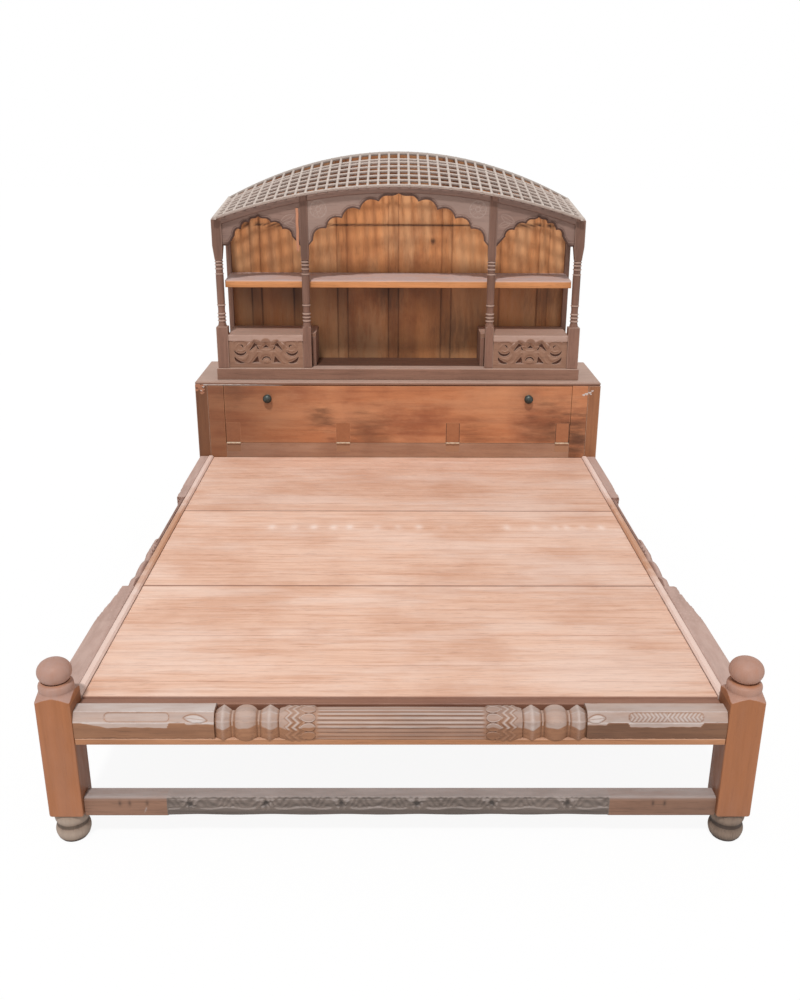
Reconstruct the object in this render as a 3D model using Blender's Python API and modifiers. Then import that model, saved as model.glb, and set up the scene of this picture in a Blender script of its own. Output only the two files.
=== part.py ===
"""Carved teak bed: a low frame on two turned front posts, a loose board deck, a storage
cabinet with a drop flap at the head, and a small balcony window (jharokha) on top of it.

Metres, +Z up, +X to the right, +Y towards the head. In the lists below y = 0 is the front
face of the posts. The parent empty then brings the middle of the length to the origin.
"""

from math import cos, pi, sin, sqrt

import bmesh
import bpy
from mathutils import Vector

# Fits
SEAT_GAP = 0.0003
DECK_SIDE_CLEARANCE = 0.0015
DECK_END_CLEARANCE = 0.0015
FLAP_CLEARANCE = 0.0020

# Front posts
BED_HALF_WIDTH = 0.900
POST_WIDTH = 0.088
POST_DEPTH = 0.090
POST_SHOULDER_HEIGHT = 0.427
FOOT_HEIGHT = 0.084
FOOT_DIAMETER = 0.094
FOOT_WAIST_DIAMETER = 0.080
FOOT_SOLE_DIAMETER = 0.070
UPPER_TORUS_HEIGHT = 0.034
UPPER_TORUS_DIAMETER = 0.087
LOWER_TORUS_TOP = 0.044
LOWER_TORUS_HEIGHT = 0.037
NECK_DIAMETER = 0.086
NECK_WAIST_DIAMETER = 0.068
SHOULDER_RISE = 0.010
NECK_HEIGHT = 0.020
NECK_STRAIGHT_HEIGHT = 0.0150
BALL_DIAMETER = 0.088
BALL_HEIGHT = 0.064
BALL_TIP_DIAMETER = 0.014
BALL_TIP_DROP = 0.001

# Front rail: ledge, carved column and plank
FRONT_INSET = 0.003
LEDGE_BOTTOM = 0.2985
LEDGE_THICK = 0.018
COLUMN_DEPTH = 0.061
COLUMN_HEIGHT = 0.071
FRONT_BEAM_THICK = 0.024
FRONT_BEAM_DROP = 0.004
FRONT_SHAFT_HALF_LENGTH = 0.212
LEAF_BAND_LENGTH = 0.090
LEAF_BAND_FLARE = 0.009
LEAF_BAND_NARROWING = 0.0225
LEAF_BAND_DIAMETER = 0.0665
INNER_BEAD_LENGTH = 0.049
COLUMN_BALL_LENGTH = 0.070
OUTER_BEAD_LENGTH = 0.042
SHAFT_DIAMETER = 0.062
SHAFT_END_DIAMETER = 0.0595
BEAD_DIAMETER = 0.0693
BEAD_GROOVE_DIAMETER = 0.050
BEAD_SHOULDER_SHARE = 0.75

# Low stretcher
STRETCHER_INSET = 0.015
STRETCHER_DEPTH = 0.045
STRETCHER_HEIGHT = 0.0555
STRETCHER_DROP = 0.0072
STRETCHER_PLAIN_END = 0.235
STRETCHER_CARVED_INSET = 0.004

# Deck
DECK_LENGTH = 2.011
DECK_TOP = 0.384
DECK_THICK = 0.022
DECK_PANELS = 3
BOARD_WIDTH = 0.084
BOARD_GROOVE_WIDTH = 0.003
BOARD_GROOVE_DEPTH = 0.002

# Side rails
SIDE_BEAM_THICK = 0.0225
SIDE_BEAM_HEIGHT = 0.110
SIDE_LIP_HEIGHT = 0.008
SIDE_BLOCK_OUT = 0.061
SIDE_FRONT_BLOCK_LENGTH = 0.660
SIDE_SHAFT_OUT = 0.042
SIDE_REAR_BLOCK_OUT = 0.037
SIDE_REAR_BLOCK_LENGTH = 0.530
SIDE_SHAFT_LENGTH = 0.420
SIDE_BEAD_LENGTH = 0.096
SIDE_BALL_LENGTH = 0.150
BEARER_WIDTH = 0.030
BEARER_HEIGHT = 0.040
CROSS_BEARER_WIDTH = 0.060
CROSS_BEARER_HEIGHT = 0.060

# Cabinet
CABINET_INSET = 0.026
CABINET_DEPTH = 0.410
CABINET_HEIGHT = 0.7224
CABINET_TOP_THICK = 0.016
CORNER_POST_WIDTH = 0.052
CORNER_POST_DEPTH = 0.050
SIDE_PANEL_THICK = 0.018
STILE_WIDTH = 0.069
STILE_THICK = 0.022
RAIL_RISE = 0.064
RAIL_HEIGHT = 0.130
CABINET_FLOOR_THICK = 0.018
CABINET_BACK_THICK = 0.012
CABINET_BACK_BOTTOM = 0.100
FLAP_THICK = 0.020

# Butt hinges
HINGE_COUNT = 4
HINGE_END_INSET = 0.033
HINGE_WIDTH = 0.060
LEAF_THICK = 0.0020
FLAP_LEAF_HEIGHT = 0.090
FRAME_LEAF_HEIGHT = 0.040
KNUCKLE_DIAMETER = 0.0080
PIN_DIAMETER = 0.0040
PIN_CLEARANCE = 0.0005
KNUCKLE_END_GAP = 0.0004

# Iron knobs
KNOB_INSET = 0.189
KNOB_HEIGHT = 0.650
KNOB_DIAMETER = 0.038
KNOB_ROSE_DIAMETER = 0.034
KNOB_ROSE_THICK = 0.003
KNOB_STEM_DIAMETER = 0.014
KNOB_STEM_LENGTH = 0.010
KNOB_DOME_DEPTH = 0.015

# Jharokha
JHAROKHA_SETBACK = 0.044
JHAROKHA_DEPTH = 0.230
BASE_HALF_WIDTH = 0.7822
BASE_RAIL_HEIGHT = 0.0493
BASE_RAIL_DEPTH = 0.060
BASE_RAIL_PROUD = 0.005
NICHE_FLOOR_THICK = 0.018
OUTER_COLUMN_PLACE = 0.7526
INNER_COLUMN_PLACE = 0.3911
OUTER_BLOCK = 0.0493
INNER_BLOCK = 0.0355
BLOCK_HEIGHT = 0.1783
LOWER_TURNING_LENGTH = 0.1291
COLUMN_SHAFT_LENGTH = 0.1034
UPPER_TURNING_LENGTH = 0.0453
HEAD_TAPER_LENGTH = 0.0591
COLUMN_SHAFT = 0.0335
COLUMN_RING = 0.0372
COLUMN_GROOVE = 0.0300
OUTER_HEAD = 0.0433
INNER_HEAD = 0.0335
LOWER_RINGS = 4
UPPER_RINGS = 4
RING_FLAT_SHARE = 0.30

# Carved boxes and shelf
BOX_HEIGHT = 0.1437
BOX_LIP_HEIGHT = 0.0285
BOX_LIP_PROUD = 0.006
BOX_FRONT_THICK = 0.018
BOX_FRONT_INSET = 0.008
BOX_TOP_THICK = 0.018
BOX_SIDE_THICK = 0.017
SHELF_RISE = 0.3755
SHELF_THICK = 0.0305
SHELF_HALF_WIDTH = 0.7340

# Roof, arches and back
ROOF_FRONT_Y_PROUD = 0.020
ROOF_FRONT_HALF_WIDTH = 0.7654
ROOF_FRONT_RISE = 0.2404
ROOF_FRONT_DROP = 0.1320
ROOF_BACK_REACH = 0.025
ROOF_BACK_HALF_WIDTH = 0.735
ROOF_BACK_RISE = 0.1257
ROOF_BACK_DROP = 0.193
LATTICE_COLUMNS = 36
LATTICE_ROWS = 7
LATTICE_BAR = 0.011
EAVE_BAND_HEIGHT = 0.0315
EAVE_BAND_DEPTH = 0.038
ARCH_INSET = 0.010
ARCH_THICK = 0.018
CENTRE_ARCH_RISE = 0.2108
SIDE_ARCH_RISE = 0.1182
CENTRE_LOBES = 5
SIDE_LOBES = 3
CENTRE_LAST_CUSP_SHARE = 0.95
SIDE_LAST_CUSP_SHARE = 0.80
CUSP_CROWDING_ANGLE = 0.90
ARCH_STRAIGHT_SHARE = 0.71
ARCH_STEEPNESS = 5
LOBE_BULGE_SHARE = 0.27
TOP_LOBE_BULGE_SHARE = 0.08
ARCH_TOP_STEPS = 12
LOBE_STEPS = 5
BACK_BOARD_THICK = 0.018
BATTEN_SPACING = 0.213
BATTEN_WIDTH = 0.042
BATTEN_PROUD = 0.006
BATTENS_EACH_SIDE = 3
REAR_POST_WIDTH = 0.020
REAR_POST_DEPTH = 0.045
REAR_POST_PLACE = 0.740
SIDE_FASCIA_RISE = 0.0296

# Easing of sharp edges, and the sides of round and lofted pieces
EDGE_EASE = 0.0020
LIP_EASE = 0.0050
TURNED_STEPS = 20
KNOB_STEPS = 16
HINGE_STEPS = 10
BALL_STEPS = 6
TORUS_STEPS = 4
DOME_STEPS = 5
BED_COLUMN_SIDES = 16
JHAROKHA_COLUMN_SIDES = 8
MERGE_DISTANCE = 0.0001
WELD_DISTANCE = 0.00001
FLAT_ANGLE = 0.001

# Finishes: sRGB colour, roughness and metallic value
FINISHES = {
    "orange_teak": ("A9683F", 0.50, 0.0),
    "worn_teak": ("8E7468", 0.70, 0.0),
    "deck_teak": ("C79A80", 0.60, 0.0),
    "red_teak": ("8A4E33", 0.50, 0.0),
    "dark_teak": ("5E4A42", 0.65, 0.0),
    "niche_teak": ("8B5836", 0.55, 0.0),
    "grey_teak": ("84766B", 0.75, 0.0),
    "iron": ("2E3133", 0.40, 1.0),
    "brass": ("9A9080", 0.35, 1.0),
}

# Places that several pieces share
post_x = BED_HALF_WIDTH - POST_WIDTH / 2
inner_x = BED_HALF_WIDTH - POST_WIDTH
deck_front = POST_DEPTH
cabinet_front = deck_front + DECK_LENGTH
cabinet_rear = cabinet_front + CABINET_DEPTH
front_edge = POST_DEPTH / 2 - max(FOOT_DIAMETER, POST_DEPTH) / 2
origin_y = (front_edge + cabinet_rear) / 2
deck_bottom = DECK_TOP - DECK_THICK
ledge_top = LEDGE_BOTTOM + LEDGE_THICK
front_beam_back = deck_front - DECK_END_CLEARANCE
front_beam_front = front_beam_back - FRONT_BEAM_THICK
column_back = front_beam_front - SEAT_GAP
rail_top = DECK_TOP + RAIL_RISE
top_underside = CABINET_HEIGHT - CABINET_TOP_THICK
cabinet_half = BED_HALF_WIDTH - CABINET_INSET
stile_outer = cabinet_half - CORNER_POST_WIDTH
stile_inner = stile_outer - STILE_WIDTH
hinge_y = cabinet_front - KNUCKLE_DIAMETER / 2 + LEAF_THICK
hinge_z = rail_top + FLAP_CLEARANCE / 2
leaf_pocket = LEAF_THICK + SEAT_GAP
jharokha_front = cabinet_front + JHAROKHA_SETBACK
back_face = jharokha_front + JHAROKHA_DEPTH
base_top = CABINET_HEIGHT + BASE_RAIL_HEIGHT
base_back = jharokha_front - BASE_RAIL_PROUD + BASE_RAIL_DEPTH
jharokha_column_y = jharokha_front + OUTER_BLOCK / 2
block_top = base_top + BLOCK_HEIGHT
shaft_top = block_top + LOWER_TURNING_LENGTH + COLUMN_SHAFT_LENGTH
arch_spring = shaft_top + UPPER_TURNING_LENGTH + HEAD_TAPER_LENGTH
box_top = base_top + BOX_HEIGHT
column_back_y = jharokha_column_y + OUTER_BLOCK / 2
rear_post_inner = REAR_POST_PLACE - REAR_POST_WIDTH / 2
rear_post_front = back_face + BACK_BOARD_THICK - REAR_POST_DEPTH
roof_front_y = jharokha_front - ROOF_FRONT_Y_PROUD
roof_back_y = back_face + ROOF_BACK_REACH
band_front = jharokha_front + ARCH_INSET - (EAVE_BAND_DEPTH - ARCH_THICK) / 2


def linear_colour(code):
    """The linear RGBA value of an sRGB hex code."""
    shades = [int(code[i:i + 2], 16) / 255 for i in (0, 2, 4)]
    return [s / 12.92 if s <= 0.04045 else ((s + 0.055) / 1.055) ** 2.4 for s in shades] + [1.0]


def clear_scene():
    for obj in list(bpy.data.objects):
        bpy.data.objects.remove(obj, do_unlink=True)


def new_collection(name):
    collection = bpy.data.collections.new(name)
    bpy.context.scene.collection.children.link(collection)
    return collection


clear_scene()
parts = new_collection("carved_teak_bed")
cutters = new_collection("cutters")
bed = bpy.data.objects.new("bed_middle", None)
bed.location = (0, -origin_y, 0)
parts.objects.link(bed)


def finish_of(obj, finish):
    """Gives the object a Principled material of its own."""
    colour, roughness, metallic = FINISHES[finish]
    material = bpy.data.materials.new(f"{obj.name}_{finish}")
    material.use_nodes = True
    shader = material.node_tree.nodes["Principled BSDF"]
    shader.inputs["Base Color"].default_value = linear_colour(colour)
    shader.inputs["Roughness"].default_value = roughness
    shader.inputs["Metallic"].default_value = metallic
    obj.data.materials.append(material)


def add(name, data, finish, parent=None):
    """Links a sub-part under the bed's empty, or under the empty on its joint's axis."""
    obj = bpy.data.objects.new(name, data)
    obj.parent = parent or bed
    parts.objects.link(obj)
    finish_of(obj, finish)
    return obj


def make_cutter(obj):
    """Turns a finished object into a helper that no render shows."""
    parts.objects.unlink(obj)
    cutters.objects.link(obj)
    obj.hide_render = True
    obj.display_type = "WIRE"
    return obj


def combine(obj, other, operation):
    """Cuts, joins or intersects an object with a helper."""
    change = obj.modifiers.new(operation.lower(), "BOOLEAN")
    change.operation = operation
    change.object = make_cutter(other)


def ease(obj, width):
    """Takes the sharpness off the edges of a board."""
    if width > 0:
        bevel = obj.modifiers.new("ease", "BEVEL")
        bevel.width = width
        bevel.segments = 1
        bevel.limit_method = "ANGLE"


def cube_mesh(name, size):
    mesh = bpy.data.meshes.new(name)
    shape = bmesh.new()
    bmesh.ops.create_cube(shape, size=1)
    bmesh.ops.scale(shape, vec=size, verts=shape.verts)
    shape.to_mesh(mesh)
    shape.free()
    return mesh


def board(name, finish, x, y, z, round_by=EDGE_EASE, parent=None):
    """A board between three (low, high) pairs."""
    low, high = (Vector(corner) for corner in zip(x, y, z))
    obj = add(name, cube_mesh(name, high - low), finish, parent)
    obj.location = (low + high) / 2 - (parent.location if parent else Vector())
    ease(obj, round_by)
    return obj


def sided(side, near, far):
    """The (low, high) pair of two distances from the middle, on the left (-1) or right (1)."""
    return tuple(sorted((side * near, side * far)))


def outline(name, finish, points, thickness, turn=(0, 0, 0), place=(0, 0, 0)):
    """A flat outline, filled and given a thickness, then turned and placed."""
    curve = bpy.data.curves.new(name, "CURVE")
    curve.dimensions = "2D"
    curve.fill_mode = "BOTH"
    curve.extrude = thickness / 2
    spline = curve.splines.new("POLY")
    spline.points.add(len(points) - 1)
    for corner, (u, v) in zip(spline.points, points):
        corner.co = (u, v, 0, 1)
    spline.use_cyclic_u = True
    obj = add(name, curve, finish)
    obj.rotation_euler = turn
    obj.location = place
    return obj


# The outline's u, v and thickness run along these axes.
ALONG_Y_Z_X = (pi / 2, 0, pi / 2)
ALONG_X_Z_Y = (pi / 2, 0, 0)


def as_mesh(obj):
    """A mesh object in place of a curve object, with its caps welded to its sides and made
    one face each."""
    name = obj.name
    bpy.context.view_layer.update()
    graph = bpy.context.evaluated_depsgraph_get()
    mesh = bpy.data.meshes.new_from_object(obj.evaluated_get(graph))
    shape = bmesh.new()
    shape.from_mesh(mesh)
    bmesh.ops.remove_doubles(shape, verts=shape.verts, dist=WELD_DISTANCE)
    bmesh.ops.dissolve_limit(shape, angle_limit=FLAT_ANGLE, verts=shape.verts, edges=shape.edges)
    shape.to_mesh(mesh)
    shape.free()
    obj.name = f"{name}_curve"
    new = bpy.data.objects.new(name, mesh)
    parts.objects.link(new)
    new.parent = obj.parent
    new.rotation_euler = obj.rotation_euler
    new.location = obj.location
    bpy.data.objects.remove(obj, do_unlink=True)
    return new


def turned(name, finish, profile, steps, parent=None):
    """A profile of (radius, height) points, listed from the top down, turned about Z."""
    mesh = bpy.data.meshes.new(name)
    points = [(radius, 0, height) for radius, height in profile]
    mesh.from_pydata(points, [(i, i + 1) for i in range(len(points) - 1)], [])
    obj = add(name, mesh, finish, parent)
    screw = obj.modifiers.new("turn", "SCREW")
    screw.steps = steps
    screw.render_steps = steps
    screw.use_merge_vertices = True
    screw.merge_threshold = MERGE_DISTANCE
    screw.use_smooth_shade = True
    return obj


def ring_reach(shape, angle):
    """How far a unit section reaches at an angle: a square, an octagon or a circle."""
    if shape == "square":
        return 1 / max(abs(cos(angle)), abs(sin(angle)))
    if shape == "octagon":
        return 1 / max(cos(angle - k * pi / 4) for k in range(8))
    return 1.0


def lofted(name, finish, stations, sides, clip=None):
    """A bar along local Z. A station is (place, half width, half depth, shape, shift), and
    clip is the (low, high) pair that the local x of the sections is kept between."""
    low, high = clip or (-1.0, 1.0)
    shape = bmesh.new()
    rings = []
    for place, half_u, half_v, form, shift in stations:
        ring = []
        for k in range(sides):
            angle = 2 * pi * k / sides
            reach = ring_reach(form, angle)
            u = min(max(shift + half_u * reach * cos(angle), low), high)
            ring.append(shape.verts.new((u, half_v * reach * sin(angle), place)))
        rings.append(ring)
    for below, above in zip(rings, rings[1:]):
        for k in range(sides):
            after = (k + 1) % sides
            shape.faces.new((below[k], below[after], above[after], above[k]))
    shape.faces.new(reversed(rings[0]))
    shape.faces.new(rings[-1])
    bmesh.ops.recalc_face_normals(shape, faces=shape.faces)
    mesh = bpy.data.meshes.new(name)
    shape.to_mesh(mesh)
    shape.free()
    return add(name, mesh, finish)


def section(place, width, form, depth=None, shift=0.0):
    """A loft's station from its full width and depth."""
    return place, width / 2, (width if depth is None else depth) / 2, form, shift


def bead(start, end, groove, crest, form, shift=0.0):
    """The stations of one bead: in the groove, on its two shoulders and on its crest."""
    quarter = (end - start) / 4
    shoulder = groove + (crest - groove) * BEAD_SHOULDER_SHARE
    sizes = (groove, shoulder, crest, shoulder, groove)
    return [section(start + i * quarter, size, form, shift=shift) for i, size in enumerate(sizes)]


def post_and_foot(name, side):
    """A square post that ends in a turned neck and ball, and the turned foot under it."""
    neck = POST_SHOULDER_HEIGHT + SHOULDER_RISE
    ball = neck + NECK_HEIGHT
    stations = [
        section(FOOT_HEIGHT + SEAT_GAP, POST_WIDTH, "square", POST_DEPTH),
        section(POST_SHOULDER_HEIGHT, POST_WIDTH, "square", POST_DEPTH),
        section(neck, NECK_DIAMETER, "round"),
        section(neck + NECK_STRAIGHT_HEIGHT, NECK_DIAMETER, "round"),
        section(ball, NECK_WAIST_DIAMETER, "round"),
    ]
    for i in range(1, BALL_STEPS):
        turn = pi * i / BALL_STEPS
        width = BALL_DIAMETER * sin(turn)
        height = ball + BALL_HEIGHT * (1 - cos(turn)) / 2
        if width > NECK_WAIST_DIAMETER or i > BALL_STEPS / 2:
            stations.append(section(height, width, "round"))
    stations.append(section(ball + BALL_HEIGHT - BALL_TIP_DROP, BALL_TIP_DIAMETER, "round"))
    post = lofted(f"{name}_post", "orange_teak", stations, BED_COLUMN_SIDES)
    post.location = (side * post_x, POST_DEPTH / 2, 0)

    def torus(top, height, crest):
        """A half-round ring of the foot, from its top edge down."""
        swell = (crest - FOOT_WAIST_DIAMETER) / 2
        rounds = [pi * i / TORUS_STEPS for i in range(TORUS_STEPS + 1)]
        return [(FOOT_WAIST_DIAMETER / 2 + swell * sin(a), top - height * a / pi) for a in rounds]

    upper = torus(FOOT_HEIGHT, UPPER_TORUS_HEIGHT, UPPER_TORUS_DIAMETER)
    lower = torus(LOWER_TORUS_TOP, LOWER_TORUS_HEIGHT, FOOT_DIAMETER)
    profile = [(0, FOOT_HEIGHT)] + upper + lower + [(FOOT_SOLE_DIAMETER / 2, 0), (0, 0)]
    foot = turned(f"{name}_foot", "worn_teak", profile, TURNED_STEPS)
    foot.location = (side * post_x, POST_DEPTH / 2, 0)


def front_rail():
    """The ledge, the carved column on it and the plain plank behind, between the posts."""
    end = inner_x - SEAT_GAP
    board("front_ledge", "orange_teak", (-end, end), (FRONT_INSET, front_beam_back),
          (LEDGE_BOTTOM, ledge_top))
    board("front_beam", "orange_teak", (-end, end), (front_beam_front, front_beam_back),
          (ledge_top + SEAT_GAP, DECK_TOP - FRONT_BEAM_DROP))
    half = [section(0, SHAFT_DIAMETER, "round"),
            section(FRONT_SHAFT_HALF_LENGTH, SHAFT_END_DIAMETER, "round")]
    place = FRONT_SHAFT_HALF_LENGTH
    half.append(section(place + LEAF_BAND_FLARE, LEAF_BAND_DIAMETER, "round"))
    place += LEAF_BAND_LENGTH
    half.append(section(place - LEAF_BAND_NARROWING, LEAF_BAND_DIAMETER, "octagon"))
    crest = COLUMN_HEIGHT - SEAT_GAP
    for length, form in ((INNER_BEAD_LENGTH, "octagon"), (COLUMN_BALL_LENGTH, "round"),
                         (OUTER_BEAD_LENGTH, "octagon")):
        half += bead(place, place + length, BEAD_GROOVE_DIAMETER, BEAD_DIAMETER, form)[:-1]
        place += length
    half.append(section(place, BEAD_GROOVE_DIAMETER, "octagon"))
    half.append(section(place + SEAT_GAP, COLUMN_DEPTH, "square", crest))
    half.append(section(end, COLUMN_DEPTH, "square", crest))
    mirrored = [(-place, *rest) for place, *rest in reversed(half[1:])]
    column_y = column_back - COLUMN_DEPTH / 2
    clip = (-COLUMN_DEPTH / 2, COLUMN_DEPTH / 2)
    column = lofted("front_column", "worn_teak", mirrored + half, BED_COLUMN_SIDES, clip)
    column.rotation_euler = ALONG_Y_Z_X
    column.location = (0, column_y, ledge_top + SEAT_GAP + COLUMN_HEIGHT / 2)


def front_stretcher():
    """The low stretcher: plain at its ends, and set back a little where it is carved."""
    end = inner_x - SEAT_GAP
    carved = end - STRETCHER_PLAIN_END
    back = STRETCHER_INSET + STRETCHER_DEPTH
    recess = STRETCHER_INSET + STRETCHER_CARVED_INSET
    points = [(-end, STRETCHER_INSET), (-carved, STRETCHER_INSET), (-carved, recess),
              (carved, recess), (carved, STRETCHER_INSET), (end, STRETCHER_INSET),
              (end, back), (-end, back)]
    bottom = FOOT_HEIGHT + SEAT_GAP - STRETCHER_DROP
    outline("front_stretcher", "worn_teak", points, STRETCHER_HEIGHT,
            place=(0, 0, bottom + STRETCHER_HEIGHT / 2))


def side_rail(name, side):
    """The plank with the lip along the deck, the bearer inside it and the column outside."""
    start, end = POST_DEPTH + SEAT_GAP, cabinet_front - SEAT_GAP
    top = DECK_TOP + SIDE_LIP_HEIGHT
    bottom = top - SIDE_BEAM_HEIGHT
    outer = inner_x + SIDE_BEAM_THICK
    board(f"{name}_beam", "red_teak", sided(side, inner_x, outer), (start, end), (bottom, top),
          LIP_EASE)
    board(f"{name}_bearer", "niche_teak", sided(side, inner_x - BEARER_WIDTH, inner_x - SEAT_GAP),
          (deck_front, end), (deck_bottom - BEARER_HEIGHT, deck_bottom - SEAT_GAP))

    def widths(out):
        """The half width and the outward shift of a section that reaches out from the plank."""
        return out / 2, side * (outer + SEAT_GAP + out / 2)

    shaft_end = cabinet_front - SIDE_REAR_BLOCK_LENGTH
    shaft_start = shaft_end - SIDE_SHAFT_LENGTH
    block_end = POST_DEPTH + SIDE_FRONT_BLOCK_LENGTH
    ball_start = block_end + SEAT_GAP + SIDE_BEAD_LENGTH
    ball_end = ball_start + SIDE_BALL_LENGTH
    turning = bead(block_end + SEAT_GAP, ball_start, BEAD_GROOVE_DIAMETER, BEAD_DIAMETER, "octagon")
    turning += bead(ball_start, ball_end, BEAD_GROOVE_DIAMETER, BEAD_DIAMETER, "round")[1:]
    turning.append(section(ball_end + LEAF_BAND_FLARE, LEAF_BAND_DIAMETER, "octagon"))
    turning.append(section(shaft_start - LEAF_BAND_FLARE, LEAF_BAND_DIAMETER, "octagon"))
    turning.append(section(shaft_start, SHAFT_DIAMETER, "round"))
    turning.append(section(shaft_end - SEAT_GAP, SHAFT_DIAMETER, "round"))
    half_crest = (COLUMN_HEIGHT - SEAT_GAP) / 2
    places = [(place, SIDE_BLOCK_OUT, half_crest, "square") for place in (start, block_end)]
    places += [(place, SIDE_SHAFT_OUT, half, form) for place, _, half, form, _ in turning]
    places += [(place, SIDE_REAR_BLOCK_OUT, half_crest, "square") for place in (shaft_end, end)]
    stations = []
    for place, out, half_height, form in reversed(places):
        half, shift = widths(out)
        stations.append((-place, half, half_height, form, shift))
    clip = sided(side, outer + SEAT_GAP, BED_HALF_WIDTH)
    column = lofted(f"{name}_column", "worn_teak", stations, BED_COLUMN_SIDES, clip)
    column.rotation_euler = ALONG_X_Z_Y
    column.location = (0, 0, ledge_top + SEAT_GAP + COLUMN_HEIGHT / 2)


def panel_joint(i):
    """Where the deck's panel i begins."""
    return deck_front + DECK_LENGTH * i / DECK_PANELS


def deck_panel(name, i):
    """A loose panel of boards laid across the bed, with a groove at each joint."""
    start, end = panel_joint(i) + DECK_END_CLEARANCE, panel_joint(i + 1) - DECK_END_CLEARANCE
    boards = round((end - start) / BOARD_WIDTH)
    points = [(start, deck_bottom), (end, deck_bottom), (end, DECK_TOP)]
    for k in range(boards - 1, 0, -1):
        joint = start + (end - start) * k / boards
        points.append((joint + BOARD_GROOVE_WIDTH / 2, DECK_TOP))
        points.append((joint, DECK_TOP - BOARD_GROOVE_DEPTH))
        points.append((joint - BOARD_GROOVE_WIDTH / 2, DECK_TOP))
    points.append((start, DECK_TOP))
    outline(name, "deck_teak", points, 2 * (inner_x - DECK_SIDE_CLEARANCE), ALONG_Y_Z_X)


def deck():
    """Three loose panels, on the side bearers and on a cross bearer under each joint."""
    for i, name in enumerate(("front_deck", "middle_deck", "rear_deck")):
        deck_panel(name, i)
    reach = inner_x - BEARER_WIDTH - SEAT_GAP
    for i, name in ((1, "front_cross_bearer"), (2, "rear_cross_bearer")):
        y = panel_joint(i)
        board(name, "niche_teak", (-reach, reach),
              (y - CROSS_BEARER_WIDTH / 2, y + CROSS_BEARER_WIDTH / 2),
              (deck_bottom - CROSS_BEARER_HEIGHT, deck_bottom - SEAT_GAP))


def cabinet_side(name, side):
    """A corner post and the side panel behind it, as one upright that stands on the floor."""
    outer = cabinet_half
    post = outer - CORNER_POST_WIDTH
    panel = outer - SIDE_PANEL_THICK
    behind = cabinet_front + CORNER_POST_DEPTH
    points = [(outer, cabinet_front), (outer, cabinet_rear), (panel, cabinet_rear),
              (panel, behind), (post, behind), (post, cabinet_front)]
    height = top_underside - SEAT_GAP
    outline(f"cabinet_{name}_side", "red_teak", [(side * x, y) for x, y in points], height,
            place=(0, 0, height / 2))
    board(f"cabinet_{name}_stile", "red_teak", sided(side, stile_inner, stile_outer - SEAT_GAP),
          (cabinet_front, cabinet_front + STILE_THICK),
          (rail_top - RAIL_HEIGHT, top_underside - SEAT_GAP))


def leaf_cutter(name, x, low, high):
    """The shallow pocket that a hinge leaf lies in."""
    wide = HINGE_WIDTH / 2 + SEAT_GAP
    return board(name, "brass", (x - wide, x + wide),
                 (cabinet_front - leaf_pocket, cabinet_front + leaf_pocket), (low, high), 0)


def knuckle(name, x, half_length, diameter):
    """A cylinder on the hinge axis."""
    mesh = bpy.data.meshes.new(name)
    shape = bmesh.new()
    bmesh.ops.create_cone(shape, cap_ends=True, segments=HINGE_STEPS, radius1=diameter / 2,
                          radius2=diameter / 2, depth=2 * half_length)
    shape.to_mesh(mesh)
    shape.free()
    obj = add(name, mesh, "brass")
    obj.rotation_euler = (0, pi / 2, 0)
    obj.location = (x, hinge_y, hinge_z)
    return obj


def hinge(number, x, flap_axis):
    """A butt hinge: a frame leaf with two knuckles and the pin, and a flap leaf between them."""
    sixth = HINGE_WIDTH / 6
    reach = sixth - KNUCKLE_END_GAP
    plate = (cabinet_front, cabinet_front + LEAF_THICK)
    wide = (x - HINGE_WIDTH / 2, x + HINGE_WIDTH / 2)
    clear = KNUCKLE_DIAMETER / 2 + KNUCKLE_END_GAP
    frame_leaf = board(f"hinge_{number}_frame_leaf", "brass", wide, plate,
                       (hinge_z - FRAME_LEAF_HEIGHT, hinge_z - clear), 0)
    flap_leaf = board(f"hinge_{number}_flap_leaf", "brass", wide, plate,
                      (hinge_z + clear, hinge_z + FLAP_LEAF_HEIGHT), 0, flap_axis)
    for part, leaf, up, shift in (("left", frame_leaf, -1, -2 * sixth), ("middle", flap_leaf, 1, 0),
                                  ("right", frame_leaf, -1, 2 * sixth)):
        middle = x + shift
        name = f"hinge_{number}_{part}_knuckle"
        heights = sorted((hinge_z, hinge_z + up * KNUCKLE_DIAMETER))
        lug = board(f"{name}_lug", "brass", (middle - reach, middle + reach), plate, heights, 0)
        combine(leaf, lug, "UNION")
        combine(leaf, knuckle(name, middle, reach, KNUCKLE_DIAMETER), "UNION")
    pin_reach = HINGE_WIDTH / 2 - 2 * KNUCKLE_END_GAP
    combine(frame_leaf, knuckle(f"hinge_{number}_pin", x, pin_reach, PIN_DIAMETER), "UNION")
    bore = knuckle(f"hinge_{number}_bore", x, sixth, PIN_DIAMETER + 2 * PIN_CLEARANCE)
    combine(flap_leaf, bore, "DIFFERENCE")


def knob(name, side, flap_axis):
    """A domed iron knob on its rose."""
    dome = KNOB_ROSE_THICK + KNOB_STEM_LENGTH
    rounds = [pi / 2 * i / DOME_STEPS for i in range(1, DOME_STEPS + 1)]
    profile = [(0, dome + KNOB_DOME_DEPTH)]
    profile += [(KNOB_DIAMETER / 2 * sin(a), dome + KNOB_DOME_DEPTH * cos(a)) for a in rounds]
    profile += [(KNOB_STEM_DIAMETER / 2, dome), (KNOB_STEM_DIAMETER / 2, KNOB_ROSE_THICK),
                (KNOB_ROSE_DIAMETER / 2, KNOB_ROSE_THICK), (KNOB_ROSE_DIAMETER / 2, 0), (0, 0)]
    obj = turned(f"{name}_knob", "iron", profile, KNOB_STEPS, flap_axis)
    obj.rotation_euler = (pi / 2, 0, 0)
    place = Vector((side * (stile_inner - KNOB_INSET), cabinet_front - SEAT_GAP, KNOB_HEIGHT))
    obj.location = place - flap_axis.location


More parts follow.
